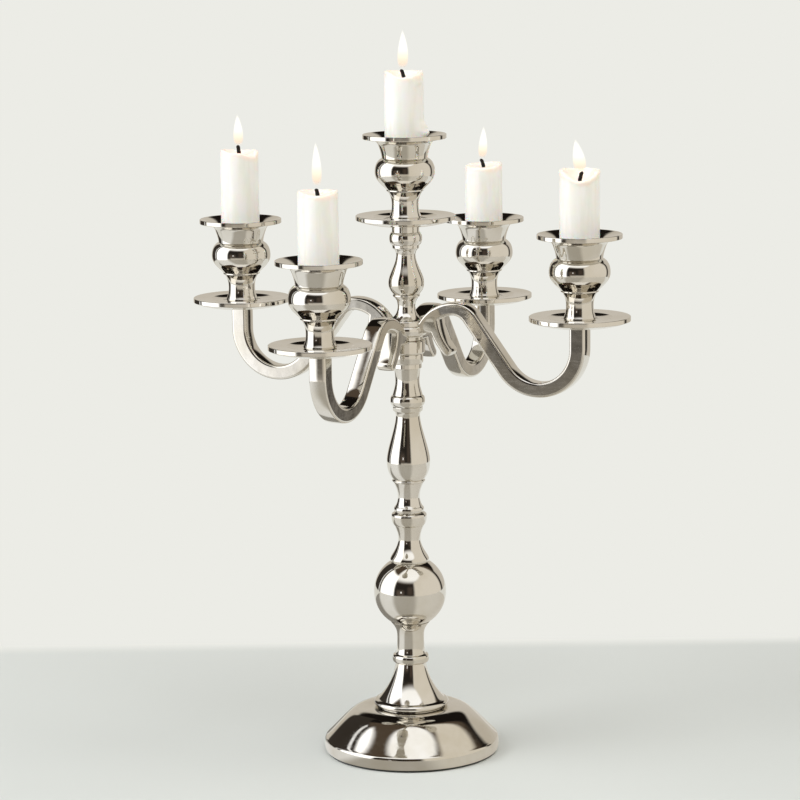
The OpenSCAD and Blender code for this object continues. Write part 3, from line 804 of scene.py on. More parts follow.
    def socket(self) -> Array:
        """Flared socket that draws in over the hubs.

        Returns:
            Its outer side, from the bottom up.
        """
        w, h, r = self.waist_r, self.socket_h, self.hub_r
        return path((r + 0.3, 0), (r + 0.3, 2.9), (r - 0.3, 3.5), (r - 1.5, 3.7),
                    ((r - 4.4, 6.2), (w - 1.2, 8), (w - 1.4, 11.5)),
                    ((w - 1.3, 13.4), (w - 1, h - 2.2), (w - 0.2, h - 1.4), 8), (w + 0.6, h))

    def upper_baluster(self) -> Array:
        """Small baluster of the upper stem.

        Returns:
            Its outer side, from the bottom up.
        """
        w, h, r = self.waist_r, self.upper_baluster_h, self.upper_baluster_r
        belly = h * 0.29
        return path(moulding(w + 0.8, w + 1.5, 0, 1.8, 8), (w + 1.3, 1.8),
                    ((w + 2.8, 3.4), (r, 5.4), (r, belly)),
                    ((r, belly + 5.4), (w - 0.4, belly + 10.4), (w - 0.9, h - 4), 22),
                    ((w - 1, h - 2.4), (w - 0.4, h - 1), (w + 0.6, h), 8))

    def top_bead(self) -> Array:
        """Bead and short cylinder under the middle plate.

        Returns:
            Its outer side, from the bottom up.
        """
        w, h = self.waist_r, self.top_bead_h
        return path((w + 0.8, 0), (w + 1.3, 0.6), (w + 1.5, 2.4),
                    moulding(w + 1.5, self.bead_r - 0.9, 2.6, h - 3.6),
                    (w + 1.5, h - 3.6), (w + 1.5, h))

    def sides(self) -> dict[str, Array]:
        """Outer side of every piece, by CAD node, drawn from the piece's own underside.

        Returns:
            Rows of (radius, height), by node name.
        """
        return {
            "pedestal": self.pedestal(), "ball_knop": self.ball(),
            "lower_spindle": self.spindle(),
            "lower_bead": self.bead(self.bead_h, self.bead_r, self.bead_h * 0.7),
            "baluster_collar": self.collar(), "baluster": self.baluster(),
            "upper_bead": self.bead(self.upper_bead_h, self.upper_bead_r,
                                    self.upper_bead_h / 2),
            "hub_seat": self.seat(), "lower_hub": self.lower_hub(),
            "upper_hub": self.upper_hub(), "upper_socket": self.socket(),
            "upper_baluster": self.upper_baluster(), "top_bead": self.top_bead()}

    def build(self) -> None:
        """Turns every piece round the rod's bore and dresses it."""
        for node, side in self.sides().items():
            loop = path((self.bore_r, side[0, 1]), side, (self.bore_r, side[-1, 1]))
            piece = turned(f"{node}_turned", loop, 0.35, self.segments, middle_of(node))
            stand_in(piece, "root", "nickel_plate", NICKEL.material(), node)


# ---- Arms


@dataclass
class Arm:
    """Cast S arm with a hanging tail, drawn in the plane of radius and height with its root
    at height 0."""

    reach: float = 113.3
    width: float = 10.6
    edge_r: float = 1.25
    crown: float = 0.22
    end_t: float = 9.8
    bend_t: float = 8.6
    slope_t: float = 9.1
    crest_t: float = 7.5
    bend_r: float = 26.0
    bend_drop: float = 34.6
    crest_rise: float = 11.1
    crest_r: float = 13.0
    sweep_r: float = 23.0
    slope: float = 53.0
    rise: float = 9.5
    root: tuple[float, float, float] = (6.9, -4.2, 2.1)
    tail_start: Pair = (19.5, 4.0)
    tail_r: float = 34.0
    tail_angle: float = -82.0
    tail_t: float = 5.6
    tail_l: float = 21.0
    crease: float = 32.0

    def middle_line(self) -> tuple[Array, Array, Array]:
        """Middle of the bar: a sweep up from the hub, the crest, a straight slope, the low
        bend and the upright end, each an arc c + r (sin a, cos a) and so on.

        Returns:
            Points, headings in radians and thicknesses.
        """
        slope = math.radians(self.slope)
        bend = np.array([self.reach - self.bend_r, self.bend_r - self.bend_drop])
        start = bend - self.bend_r * np.array([math.sin(slope), math.cos(slope)])
        top = self.crest_rise - self.crest_r
        run = (top + self.crest_r * math.cos(slope) - start[1]) / math.sin(slope)
        fall = start + run * np.array([-math.cos(slope), math.sin(slope)])
        crest = fall - self.crest_r * np.array([math.sin(slope), math.cos(slope)])
        sweep = np.array([crest[0], self.crest_rise - self.sweep_r])
        opening = math.acos((self.sweep_r - self.crest_rise) / self.sweep_r)

        def arc(centre: Array, radius: float, angles: Array, side: int) -> Array:
            """Arc over (side 1) or under (side -1) its centre."""
            return centre + radius * np.stack([side * -np.sin(angles),
                                               side * np.cos(angles)], -1)

        a1 = np.linspace(opening, 0, 22, endpoint=False)
        a2 = np.linspace(0, -slope, 18)
        a3 = np.linspace(-slope, 0, 26)
        a4 = np.linspace(0, math.pi / 2, 34)[1:]
        straight = np.linspace(0, 1, 10)[1:-1, None]
        line = fall + straight * (start - fall)
        up = np.array([[self.reach, z] for z in np.linspace(bend[1], self.rise, 6)[1:]])
        points = np.vstack([arc(sweep, self.sweep_r, a1, 1), arc(crest, self.crest_r, a2, 1),
                            line, arc(bend, self.bend_r, a3, -1),
                            arc(bend, self.bend_r, a4, -1), up])
        heads = np.concatenate([a1, a2, np.full(8, -slope), a3, a4, np.full(5, math.pi / 2)])
        thick = np.concatenate([
            np.full(22, self.crest_t), np.linspace(self.crest_t, self.slope_t, 18),
            np.full(8, self.slope_t), np.linspace(self.slope_t, self.bend_t, 26),
            np.linspace(self.bend_t, self.end_t, 34)[1:], np.full(5, self.end_t)])
        return points, heads, thick

    @staticmethod
    def sides(points: Array, heads: Array, thick: Array) -> tuple[Array, Array]:
        """The two edges of a bar: its middle plus and minus half the thickness along the
        normal (-sin heading, cos heading)."""
        normal = np.stack([-np.sin(heads), np.cos(heads)], -1) * thick[:, None] / 2
        return points + normal, points - normal

    @staticmethod
    def crossing(a: Array, b: Array) -> tuple[int, int, Array]:
        """Where two open polylines first cross.

        Every segment p + s d of a is solved against every q + t e of b for s and t in 0..1.

        Args:
            a, b: the polylines, as rows of points.

        Returns:
            The segments' numbers in a and b, and the point.
        """
        p, d = a[:-1, None], np.diff(a, axis=0)[:, None]
        q, e = b[None, :-1], np.diff(b, axis=0)[None]
        cross = d[..., 0] * e[..., 1] - d[..., 1] * e[..., 0]
        cross = np.where(np.abs(cross) < 1e-12, 1e-12, cross)
        w = q - p
        s = (w[..., 0] * e[..., 1] - w[..., 1] * e[..., 0]) / cross
        t = (w[..., 0] * d[..., 1] - w[..., 1] * d[..., 0]) / cross
        hits = np.argwhere((s >= 0) & (s <= 1) & (t >= 0) & (t <= 1))
        i, j = hits[0]
        return int(i), int(j), a[i] + s[i, j] * (a[i + 1] - a[i])

    def tail(self) -> tuple[Array, Array, Array]:
        """The tail's inner side, rounded tip and outer side, on an arc that turns outwards.

        Returns:
            The three stretches, each as rows of points.
        """
        first = math.radians(self.tail_angle)
        centre = np.array(self.tail_start) + self.tail_r * np.array(
            [-math.sin(first), math.cos(first)])
        share = np.linspace(-0.15, 1, 26)
        heads = first + share * self.tail_l / self.tail_r
        middle = centre + self.tail_r * np.stack([np.sin(heads), -np.cos(heads)], -1)
        thick = self.crest_t + (self.tail_t - self.crest_t) * np.clip(share, 0, 1)
        outer, inner = self.sides(middle, heads, thick)
        a = np.linspace(heads[-1] - math.pi / 2, heads[-1] + math.pi / 2, 17)[1:-1]
        tip = middle[-1] + self.tail_t / 2 * np.stack([np.cos(a), np.sin(a)], -1)
        return inner, tip, outer

    def outline(self) -> Array:
        """One closed outline of bar, root block and tail, with the material on its left.

        Returns:
            Rows of (radius, height).
        """
        upper, under = self.sides(*self.middle_line())
        inner, tip, outer = self.tail()
        root_r, low, high = self.root
        block = np.array([(root_r, low), (self.tail_start[0], low)])
        _, i, meet_in = self.crossing(block, inner)
        j, k, meet_out = self.crossing(outer[::-1], under)
        return path((root_r, low), meet_in, inner[i + 1:], tip, outer[::-1][:j + 1], meet_out,
                    under[k + 1:], upper[::-1], (root_r, high))

    def grid(self) -> Array:
        """The outline carried across the bar's width.

        At side position y the outline is moved inwards along its own normal by an inset: a
        quarter circle over each edge, and a shallow crown -c (1 - (y / half)^2) between.

        Returns:
            Grid of points, one row for each side position.
        """
        loop = self.outline()
        ahead = np.roll(loop, -1, 0) - loop
        left = np.stack([-ahead[:, 1], ahead[:, 0]], -1)
        left /= np.linalg.norm(left, axis=1)[:, None]
        before = np.roll(left, 1, 0)
        inward = (left + before) / (1 + (left * before).sum(1))[:, None].clip(0.35)
        half, r = self.width / 2, self.edge_r
        q = np.linspace(0, math.pi / 2, 6)
        flat = np.linspace(-(half - r), half - r, 11)[1:-1]
        y = np.concatenate([[-half], -half + r * (1 - np.cos(q)), flat,
                            (half - r * (1 - np.cos(q)))[::-1], [half]])
        inset = np.concatenate([
            [r + 0.35], r * (1 - np.sin(q)), -self.crown * (1 - (flat / (half - r)) ** 2),
            (r * (1 - np.sin(q)))[::-1], [r + 0.35]])
        flatways = loop[None] + inset[:, None, None] * inward[None]
        return np.concatenate([flatways[..., :1], y[:, None, None] + 0 * flatways[..., :1],
                               flatways[..., 1:]], -1)

    def build(self, light: Light) -> None:
        """Makes the arm of one light, turned to where its CAD arm points.

        Args:
            light: whose arm it is.
        """
        node = f"arm_{light.value}"
        low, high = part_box(node)
        turn = round(math.degrees(math.atan2(low.y + high.y, low.x + high.x)) / 90) * 90
        c, s = math.cos(math.radians(turn)), math.sin(math.radians(turn))
        grid = self.grid() @ np.array([[c, s, 0], [-s, c, 0], [0, 0, 1]])
        place = Vector((0, 0, high.z - self.rise * MM))
        arm = solid(f"{node}_cast", grid, place, caps=True)
        arm.data.set_sharp_from_angle(angle=math.radians(self.crease))
        stand_in(arm, "root", "nickel_plate", NICKEL.material(), node)


# ---- Plates and cups


@dataclass
class Holder:
    """Drip plate and candle cup of one light."""

    plate_r: float = 30.0
    sunk_r: float = 19.2
    sunk_d: float = 2.2
    plate_h: float = 6.6
    plate_edge: float = 2.8
    cup_h: float = 50.9
    rim_r: float = 25.2
    mouth_r: float = 19.4
    dish_d: float = 2.0
    funnel_d: float = 6.4
    rim_t: float = 2.8
    rim_break: float = 0.4
    bulb_r: float = 18.1
    foot_r: float = 9.6
    stem_r: float = 8.1
    well_r: float = 12.35
    throat_wall: float = 1.4
    well_d: float = 18.0
    stud_r: float = 2.5
    stud_hole_d: float = 8.0
    hole_r: float = 2.8
    segments: int = 144

    def band(self, r: float, low: float, high: float) -> Array:
        """Crisp upright edge with both corners broken.

        Args:
            r: its radius.
            low, high: its two heights.

        Returns:
            Points from the bottom up.
        """
        b = self.rim_break
        return path((r - b, low), ((r - b / 2, low), (r, low + b / 2), (r, low + b), 5),
                    (r, low + b + 0.2), (r, high - b - 0.2), (r, high - b),
                    ((r, high - b / 2), (r - b / 2, high), (r - b, high), 5))

    def plate(self) -> Array:
        """Shallow dish with a crisp edge and a bowl-shaped sunken middle.

        Returns:
            Closed outline.
        """
        r, h, w = self.plate_r, self.plate_h, self.sunk_r
        edge, floor = h - self.plate_edge, h - self.sunk_d
        return path(
            (self.hole_r, 0), (self.foot_r + 1, 0),
            ((r * 0.56, 0.5), (r * 0.8, 1.8), (r - self.rim_break, edge), 18),
            self.band(r, edge, h), (r - 1.2, h),
            ((r - 4, h - 0.2), (w + 3, h - 0.5), (w + 0.2, h - 0.5), 10),
            ((w - 0.6, h - 0.9), (w - 3.6, floor), (w - 7, floor), 20), (self.hole_r, floor))

    def cup(self) -> Array:
        """Urn-shaped cup from the stud's hole out, over the rim and down into the well.

        Returns:
            Closed outline.
        """
        h, s, f = self.cup_h, self.stem_r, self.foot_r
        tr, tz = self.well_r + self.throat_wall, h - 14.3
        nr, nz = s + 3, 17.3
        bulb = nz + (tz - nz) * 0.56
        r, m, b, t = self.rim_r, self.mouth_r, self.bulb_r, self.rim_t
        well, floor = self.well_r, h - self.funnel_d - self.well_d
        return path(
            (0.4, self.stud_hole_d), (self.stud_r, self.stud_hole_d), (self.stud_r, 0),
            (f - 0.4, 0), (f, 0.5), (f, 1.6), ((s + 0.6, 3.4), (s, 5), (s, 8.6), 12),
            ((s, 12), (s + 0.8, 14.6), (nr - 0.6, nz - 0.8), 12), (nr + 0.2, nz - 0.4),
            (nr + 0.1, nz + 0.4), ((nr + 2.6, nz + 3.2), (b, bulb - 4.8), (b, bulb), 18),
            ((b, bulb + 4.6), (tr + 2.6, tz - 1.3), (tr, tz), 18),
            ((tr + 0.3, tz + 3), (tr + 1.2, tz + 5.4), (tr + 2.2, tz + 8.2), 10),
            ((tr + 3.6, tz + 11), (r - 5, h - t - 0.4), (r - self.rim_break, h - t), 12),
            self.band(r, h - t, h), (r - 0.9, h - 0.1),
            ((m, h - self.dish_d), (well + 1.2, h - self.funnel_d / 2),
             (well, h - self.funnel_d), 30), (well, floor), (0.4, floor))

    def build(self, light: Light) -> None:
        """Makes and dresses one light's plate and cup.

        Args:
            light: whose plate and cup they are.
        """
        for kind, outline, fillet in (("plate", self.plate(), 0.4), ("cup", self.cup(), 0.35)):
            node = f"{kind}_{light.value}"
            piece = turned(f"{node}_turned", outline, fillet, self.segments, middle_of(node))
            stand_in(piece, "root", "nickel_plate", NICKEL.material(), node)


# ---- Candles


@dataclass
class Candle:
    """Part-burnt candle with its wick and flame.

    Angles are degrees round the candle from +X. Each rim lobe is (angle, width, height) and
    each run of wax is (angle, width, length, thickness). A puddle is (angle, width, height
    over the cup's rim, thickness): wax that has set where the candle meets its cup.
    """

    light: Light
    lobes: tuple[tuple[float, float, float], ...] = ()
    runs: tuple[tuple[float, float, float, float], ...] = ()
    puddles: tuple[tuple[float, float, float, float], ...] = ()
    flare: float = 0.0
    lean: tuple[float, float] = (200.0, 0.8)
    flame_h: float = 21.0
    flame_r: float = 3.1
    flame_lean: tuple[float, float] = (200.0, 0.6)
    radius: float = 12.0
    top_r: float = 11.6
    basin: float = 1.6
    wick_r: float = 1.15
    wick_h: float = 7.0
    bare_z: float = 26.0
    cup_rim_z: float = 24.0
    lobe_fade: float = 18.0
    drop: Pair = (0.55, 0.95)
    segments: int = 144

    def outline(self, length: float) -> Array:
        """Closed outline: foot, side, soft rim, melted basin and the wick's bore.

        Args:
            length: how long the candle is, without its wick.

        Returns:
            Rows of (radius, height).
        """
        r, t, b = self.radius, self.top_r, self.wick_r
        share = np.linspace(0, 1, 70)[1:]
        side = np.stack([r + (t - r) * share, 0.6 + (length - 2.2) * share], -1)
        floor = length - self.basin
        return path(
            (b, 0), (r - 0.6, 0), (r, 0.6), side,
            ((t, length - 0.5), (t - 0.5, length), (t - 1.5, length), 8),
            ((t - 2.6, length), (t * 0.66, floor), (b, floor), 24),
            np.stack([np.full(6, b), np.linspace(floor - 1, 1, 6)], -1))

    def wax(self, place: Vector, length: float) -> Piece:
        """The wax: the outline turned round, then bent by angle.

        The rim rises by the sum of its lobes' bell curves. Outside, the rise fades in over the
        top 18 mm. Inside, it stretches the crater's wall between its floor and the rim. A run
        adds a bell ridge that ends in a drop, and a puddle a swelling at the cup's rim. The
        side also swells slowly by a few hundredths as sines of angle and height.

        Args:
            place: the middle of the candle's underside, in metres.
            length: how long the candle is, without its wick.

        Returns:
            The new object.
        """
        loop = softened(self.outline(length), 0.4)
        grid = revolved(loop, self.segments)
        angle = np.degrees(np.arctan2(grid[..., 1], grid[..., 0]))
        r, z = np.hypot(grid[..., 0], grid[..., 1]), grid[..., 2]
        turn = np.radians(angle)
        bare = smooth((z - self.bare_z) / 4)
        outside = smooth((r - 0.8 * self.top_r) / (0.15 * self.top_r))
        swell = 0.07 * np.sin(3 * turn + 0.09 * z) + 0.05 * np.sin(7 * turn - 0.05 * z + 1)
        wider = bare * outside * swell
        ragged = 0.5 * np.sin(11 * turn + 0.8 * z) + 0.5 * np.sin(17 * turn - 1.3 * z + 2)
        wider += 0.10 * outside * ragged * smooth((z - length + 7) / 6)
        for centre, width, run, thick in self.runs:
            end = length - run
            tapered = near(angle, centre, width * (0.7 + 0.3 * smooth((end + 4 - z) / 4)))
            wider += outside * thick * tapered * smooth((z - end) / 1.6) * bare
        for centre, width, tall, thick in self.puddles:
            low = smooth((z - self.cup_rim_z + 4) / 4)
            swollen = thick * smooth((self.cup_rim_z + tall - z) / tall) ** 1.4
            lumps = 1 + 0.10 * np.sin(1.3 * z + 3 * turn) + 0.08 * np.sin(7 * turn - z)
            wider += swollen * lumps * near(angle, centre, width) * low * outside
        wider += self.flare * smooth((z - length + 4.5) / 4) * outside
        floor = length - self.basin
        lift = sum(h * near(angle, c, w) for c, w, h in self.lobes) + 0 * angle
        lift = lift + 0.22 * np.sin(2 * turn + 0.6) + 0.14 * np.sin(5 * turn) \
            + 0.09 * np.sin(13 * turn + 1)
        rising = np.where(r < self.top_r - 1, ((z - floor) / self.basin).clip(0, 1),
                          smooth((z - length + self.lobe_fade) / 16))
        z_new = z + lift * rising
        scale = 1 + wider / np.maximum(r, 1)
        bent = np.stack([grid[..., 0] * scale, grid[..., 1] * scale, z_new], -1)
        piece = solid(f"candle_{self.light.value}_wax", bent, place)
        # Share for the wax finish: melted top and crater get smoother wax and painted flame glow,
        # a rosy tint and emission.
        depth = 4.6 + 1.5 * np.sin(turn * 2 + 1.3) + 0.8 * np.sin(turn * 5)
        melt_and_glow = smooth((z - (length - depth)) / depth) * 0.9
        mark(piece, "melt_and_glow", np.where(r < self.top_r * 0.94, np.maximum(melt_and_glow, 0.8), melt_and_glow))
        return piece

    def wick(self, place: Vector, length: float) -> Piece:
        """The wick: a round section carried up a line that bows sideways as its free height
        to the power 1.5, with a rough side and a rounded burnt end.

        Args:
            place: the middle of the candle's underside, in metres.
            length: how long the candle is, without its wick.

        Returns:
            The new object.
        """
        start = length - self.basin - 5
        t = np.linspace(0, 1, 30)[:, None]
        a = around(24)[None]
        z = start + t * (5 + self.wick_h)
        free = np.clip((z - length + self.basin) / self.wick_h, 0, 1)
        r = self.wick_r * (1 + 0.07 * np.sin(5 * a + 9 * t) + 0.06 * np.sin(22 * t))
        r = r * np.sqrt(np.clip((1.015 - t) / 0.10, 0, 1))
        lean = math.radians(self.lean[0])
        x = r * np.cos(a) + math.cos(lean) * self.lean[1] * free**1.5
        y = r * np.sin(a) + math.sin(lean) * self.lean[1] * free**1.5
        return solid(f"wick_{self.light.value}_braid", np.stack([x, y, z + 0 * a], -1), place,
                     poles=True)

    def flame(self, place: Vector, length: float) -> Piece:
        """The flame: nested drops of radius R k t^p (1-t)^q that lean as t squared, from the
        middle of the wick to the tip. Cover grows from the clear zone to the bright core.

        Args:
            place: the middle of the candle's underside, in metres.
            length: how long the candle is, without its wick.

        Returns:
            The new object.
        """
        low = length - self.basin + 0.6 * self.wick_h
        t = np.linspace(0.004, 0.996, 60)[:, None]
        a = around(40)[None]
        p, q = self.drop
        peak = (p / (p + q)) ** p * (q / (p + q)) ** q
        lean = math.radians(self.flame_lean[0])
        bow = math.radians(self.lean[0])
        shells, rises, cover = [], [], []
        for size, strength in ((1.0, 0.42), (0.84, 0.62), (0.62, 0.95)):
            r = self.flame_r * size * t**p * (1 - t) ** q / peak
            side = self.flame_lean[1] * t**2
            wick = self.lean[1] * 0.6 * (1 - t) ** 2
            x = r * np.cos(a) + math.cos(lean) * side + math.cos(bow) * wick
            y = r * np.sin(a) + math.sin(lean) * side + math.sin(bow) * wick
            reach = self.flame_h * (0.5 + 0.5 * size)
            z = low + (self.flame_h - reach) * 0.55 + reach * t
            shells.append(np.stack([x, y, z + 0 * a], -1))
            height = (z + 0 * a - low) / self.flame_h
            rises.append(height)
            cover.append(strength * smooth((height - 0.10) / 0.26)
                         * (1 - 0.6 * smooth((height - 0.85) / 0.15)))
        parts = [solid(f"flame_{self.light.value}_{i}", s, place, poles=True)
                 for i, s in enumerate(shells)]
        for part, h, c in zip(parts, rises, cover):
            mark(part, "rise_share", np.concatenate([h.ravel(), [0, 1]]))
            mark(part, "cover", np.concatenate([c.ravel(), [0, 0]]))
        return self.one(f"flame_{self.light.value}", parts)

    @staticmethod
    def one(name: str, parts: list[Piece]) -> Piece:
        """Joins parts into one object.

        Args:
            name: the name of the whole.
            parts: what is joined.

        Returns:
            The joined object.
        """
        bpy.ops.object.select_all(action="DESELECT")
        for part in parts:
            part.select_set(True)
        bpy.context.view_layer.objects.active = parts[0]
        bpy.ops.object.join()
        parts[0].name = name
        return parts[0]

    def build(self) -> None:
        """Makes the wax, the wick and the flame, all on the candle's own body."""
        node = f"candle_{self.light.value}"
        low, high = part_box(node)
        place, length = middle_of(node), (high.z - low.z) / MM
        body = f"{self.light.value}_candle"
        stand_in(self.wax(place, length), body, "wax", WAX.material(), node)
        stand_in(self.wick(place, length), body, "wick", CHAR.material(),
                 f"wick_{self.light.value}")
        flame = stand_in(self.flame(place, length), body, "flame", FLAME.material())
        flame.visible_shadow = False


CANDLES = (
    Candle(Light.MIDDLE, lobes=((-64, 46, -2.8), (200, 60, 0.4)), basin=4.2, wick_h=5.5,
           runs=((-12, 16, 7.5, 0.8), (-40, 10, 4.0, 0.5)), puddles=((20, 36, 12, 3.0),),
           lean=(206, 1.3), flame_h=25.6, flame_r=3.2, flame_lean=(206, 0.4)),
    Candle(Light.FRONT_LEFT, lobes=((-64, 52, -1.7),), basin=2.6, wick_h=3.9,
           runs=((-110, 9, 12, 0.3),), lean=(206, 0.6), flame_h=28.0, flame_r=2.8,
           flame_lean=(206, 0.7)),
    Candle(Light.FRONT_RIGHT, lobes=((-64, 52, -5.4), (116, 70, 0.4)), basin=7.5, wick_h=6.5,
           flare=0.55, runs=((170, 14, 5, 0.3),), lean=(26, 1.6), flame_h=21.5, flame_r=3.75,
           flame_lean=(206, 2.4)),
    Candle(Light.BACK_LEFT, lobes=((-10, 36, -2.8), (206, 60, 0.8), (45, 22, 0.8)), basin=2.9,
           wick_h=6.6, runs=((-130, 10, 9, 0.3),), lean=(206, 0.5), flame_h=21.6, flame_r=3.0),
    Candle(Light.BACK_RIGHT, lobes=((226, 62, -1.7), (-50, 44, -1.5), (40, 46, 0.5)), basin=2.4,
           wick_h=5.3, runs=((-20, 12, 8, 0.3),), lean=(206, 1.4), flame_h=22.6, flame_r=2.75,
           flame_lean=(26, 0.3)),
)


# ---- Studio


@dataclass(frozen=True)
class Card:
    """Soft-edged panel of light or dark round the object.

    Azimuths are degrees from the front, to the right positive. rise lifts the top edge by
    that many degrees for each degree of azimuth past the left edge.
    """

    left: float
    right: float
    low: float
    high: float
    colour: str
    strength: float = 1.0
    soft: float = 2.0
    rise: float = 0.0


@dataclass
class Studio:
    """Pale table, soft light and the camera.

    Sizes are in metres and angles in radians, but turn is in degrees and the lens and its
    sensor are in millimetres.

    table_fade is the depth behind the stem over which the table takes the wall's tone. Each of
    the tones is two bearings in half turns and the colour of painted reflection, seen by
    glossy rays, that is reached at the second.
    """

    turn: float = 26.02
    distance: float = 1.853552
    height: float = 0.543570
    pitch: float = 0.173304
    yaw: float = -0.0025145
    roll: float = -0.0128662
    lens: float = 139.5
    sensor_mm: float = 36.0
    table_r: float = 1.0
    table_fade: Pair = (0.24, 0.27)
    painted_reflection_tones: tuple[tuple[float, float, str], ...] = (
        (0.04, 0.16, "#D8D0C3"), (-0.25, -0.36, "#F4F2EE"), (-0.58, -0.66, "#6E655A"))
    mirror_share: float = 0.7
    aim_z: float = 0.22
    wall: str = "#ECECE6"
    dark: str = "#2B2723"
    room: tuple[Card, ...] = field(default_factory=lambda: (
        Card(-200, 200, 34, 90, "#54483C", 1.0, 6),
        Card(-62, 62, 40, 90, "#FFFFFF", 1.25, 8),
        Card(-240, -128, 26, 80, "#1A1613", 1.0, 4),
        Card(128, 240, 26, 80, "#1A1613", 1.0, 4),
        Card(-240, -152, -30, 27, "#CFC8BC", 1.0, 3),
        Card(128, 240, -30, 27, "#CFC8BC", 1.0, 3),
        Card(-152, -109, -30, 48, "#3A3530", 1.0, 2),
        Card(-120, -116, -28, 46, "#FFFFFF", 1.0, 1),
        Card(-40, 22, -90, -5, "#CDC6BA", 1.0, 4),
        Card(-64, -40, -90, -11, "#CDC6BA", 1.0, 5),
        Card(-44, -20, -4, 12, "#5C5148", 1.0, 6),
        Card(-8, 8, -2, 24, "#4A4038", 1.0, 6),
        Card(-31, -27, 4, 8, "#FFFFFF", 1.4, 1),
        Card(14, 117, -30, 38, "#DDD6C9", 1.12, 5, 0.45),
        Card(-109, -54, -30, 52, "#FFFFFF", 1.8, 4),
    ))

    def faced(self, tree: Tree, space: str) -> tuple[Socket, ...]:
        """Coordinates turned to face the camera.

        Args:
            tree: the node tree.
            space: which of the Texture Coordinate outputs is turned.

        Returns:
            The bearing round from the front, atan2(across, -depth), the depth and the height.
        """
        turned = add(tree, "VectorRotate", {
            "Vector": add(tree, "TexCoord", out=space), "Angle": -math.radians(self.turn)},
            rotation_type="Z_AXIS")
        across, depth, up = add(tree, "SeparateXYZ", (turned,)).node.outputs
        front = add(tree, "Math", (depth, -1.0), operation="MULTIPLY")
        return add(tree, "Math", (across, front), operation="ARCTAN2"), depth, up

    def sky(self) -> None:
        """World: a dark room with soft panels, seen only in reflections and as light. The
        camera sees a plain pale wall instead."""
        world = bpy.data.worlds.new("studio")
        bpy.context.scene.world = world
        world.use_nodes = True
        tree = world.node_tree
        bearing, _, up = self.faced(tree, "Generated")
        azimuth = add(tree, "Math", (bearing, math.degrees(1)), operation="MULTIPLY")
        rise = add(tree, "Math", (up,), operation="ARCSINE")
        elevation = add(tree, "Math", (rise, math.degrees(1)), operation="MULTIPLY")
        light = linear(self.dark)
        for card in self.room:
            along = add(tree, "Math", (azimuth, card.left), operation="SUBTRACT")
            top = add(tree, "Math", (along, card.rise, card.high), operation="MULTIPLY_ADD")
            share = 1.0
            for high, low in ((azimuth, card.left), (card.right, azimuth),
                              (elevation, card.low), (top, elevation)):
                inside = add(tree, "Math", (high, low), operation="SUBTRACT")
                soft = add(tree, "MapRange", (inside, -card.soft, card.soft, 0, 1), **STEP)
                share = add(tree, "Math", (share, soft), operation="MULTIPLY")
            bright = [c * card.strength for c in linear(card.colour)[:3]]
            light = add(tree, "Mix", {0: share, 6: light, 7: (*bright, 1)}, 2, **COLOUR)
        lit = add(tree, "Background", (light, 1.0))
        wall = add(tree, "Background", (linear(self.wall), 1.0))
        seen = add(tree, "LightPath", out="Is Camera Ray")
        feed(tree.nodes["World Output"], (add(tree, "MixShader", (seen, lit, wall)),))

    def table_paint(self) -> Material:
        """Matt pale paint that takes the wall's tone behind the object. What the metal mirrors
        of it is mostly painted reflection: a glowing flat warm tone that changes with the
        bearing.

        Returns:
            The material.
        """
        paint = bpy.data.materials.new("matt_table_top")
        paint.use_nodes = True
        tree = paint.node_tree
        matt = tree.nodes["Principled BSDF"]
        feed(matt, {"Base Color": linear("#D6DAD7"), "Roughness": 0.7,
                    "Specular IOR Level": 0.2})
        bearing, depth, _ = self.faced(tree, "Object")
        # Painted reflection: glowing tones by bearing, which glossy rays see on the table instead
        # of its lit paint.
        reflected_tone = linear("#9C9283")
        for start, end, tone in self.painted_reflection_tones:
            share = add(tree, "MapRange", (bearing, start * math.pi, end * math.pi, 0, 1), **STEP)
            reflected_tone = add(tree, "Mix", {0: share, 6: reflected_tone, 7: linear(tone)}, 2, **COLOUR)
        glossy = add(tree, "LightPath", out="Is Glossy Ray")
        mirrored = add(tree, "MapRange", (glossy, 0, 1, 0, self.mirror_share), **STEP)
        painted_reflection = add(tree, "Emission", (reflected_tone, 1.0))
        near_side = add(tree, "MixShader", (mirrored, matt.outputs[0], painted_reflection))
        far = add(tree, "MapRange", (depth, *self.table_fade, 0, 1), **STEP)
        pale = add(tree, "Emission", (linear(self.wall), 1.0))
        feed(tree.nodes["Material Output"], (add(tree, "MixShader", (far, near_side, pale)),))
        return paint

    def floor(self) -> None:
        """Plain round table top, flat at height 0."""
        a = around(96)
        ring = self.table_r * np.stack([np.cos(a), np.sin(a), 0 * a], -1)
        mesh = bpy.data.meshes.new("floor")
        mesh.from_pydata(ring.tolist(), [], [list(range(len(a)))])
        mesh.materials.append(self.table_paint())
        put("floor", mesh)

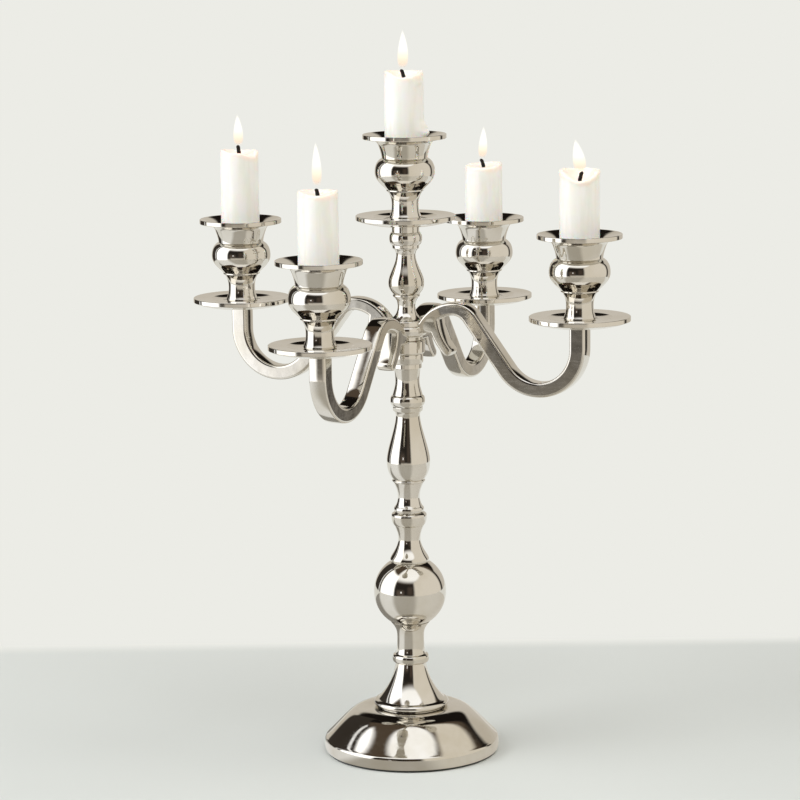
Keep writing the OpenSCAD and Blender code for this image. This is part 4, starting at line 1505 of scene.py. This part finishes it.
    def lamp(self, name: str, azimuth: float, elevation: float, away: float, size: float,
             power: float) -> None:
        """Square soft light aimed at the object's middle, left out of reflections.

        Args:
            name: its name.
            azimuth, elevation: where it hangs, in degrees.
            away, size: its distance and its side, in metres.
            power: watts.
        """
        data = bpy.data.lights.new(name, "AREA")
        data.shape, data.size, data.energy = "SQUARE", size, power
        lamp = put(name, data)
        a, e = math.radians(self.turn + azimuth), math.radians(elevation)
        ray = Vector((math.sin(a) * math.cos(e), -math.cos(a) * math.cos(e), math.sin(e)))
        lamp.matrix_world = Matrix.Translation(Vector((0, 0, self.aim_z)) + away * ray) \
            @ ray.to_track_quat("Z", "Y").to_matrix().to_4x4()
        lamp.visible_glossy = False

    def camera(self) -> None:
        """Camera in front of the object, a little above it and tilted down."""
        a, heading = math.radians(self.turn), math.radians(self.turn) - self.yaw
        level = Vector((-math.sin(heading), math.cos(heading), 0))
        ahead = (level * math.cos(self.pitch)
                 - Vector((0, 0, 1)) * math.sin(self.pitch)).normalized()
        right = ahead.cross(Vector((0, 0, 1))).normalized()
        up = right.cross(ahead)
        c, s = math.cos(self.roll), math.sin(self.roll)
        matrix = Matrix((right * c + up * s, up * c - right * s, -ahead)).transposed().to_4x4()
        matrix.translation = Vector((self.distance * math.sin(a),
                                     -self.distance * math.cos(a), self.height))
        data = bpy.data.cameras.new("camera")
        data.sensor_width, data.lens = self.sensor_mm, self.lens
        camera = put("camera", data)
        camera.matrix_world = matrix
        bpy.context.scene.camera = camera

    def build(self) -> None:
        """Sets up the whole studio."""
        bpy.context.scene.view_settings.view_transform = "Standard"
        self.camera()
        self.sky()
        self.floor()
        self.lamp("key", azimuth=-64, elevation=40, away=2.6, size=1.6, power=26)
        self.lamp("top", azimuth=50, elevation=70, away=2.6, size=2.0, power=28)


# ---- Whole object


def hidden_hardware() -> None:
    """Dresses the rod and the studs, which stay as the frame has them."""
    for node in ("tie_rod", "arm_studs"):
        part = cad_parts[node]
        part.data.materials.clear()
        part.data.materials.append(STEEL.material())
        log.info("%s: kept from the frame", node)


def main() -> None:
    """Builds the studio and every sub-assembly, in order."""
    logging.basicConfig(level=logging.INFO, format="%(name)s: %(message)s")
    Studio().build()
    Foot().build()
    Stem().build()
    arm, holder = Arm(), Holder()
    for light in Light:
        holder.build(light)
        if light is not Light.MIDDLE:
            arm.build(light)
    for candle in CANDLES:
        candle.build()
    hidden_hardware()


if __name__ == "__main__":
    main()
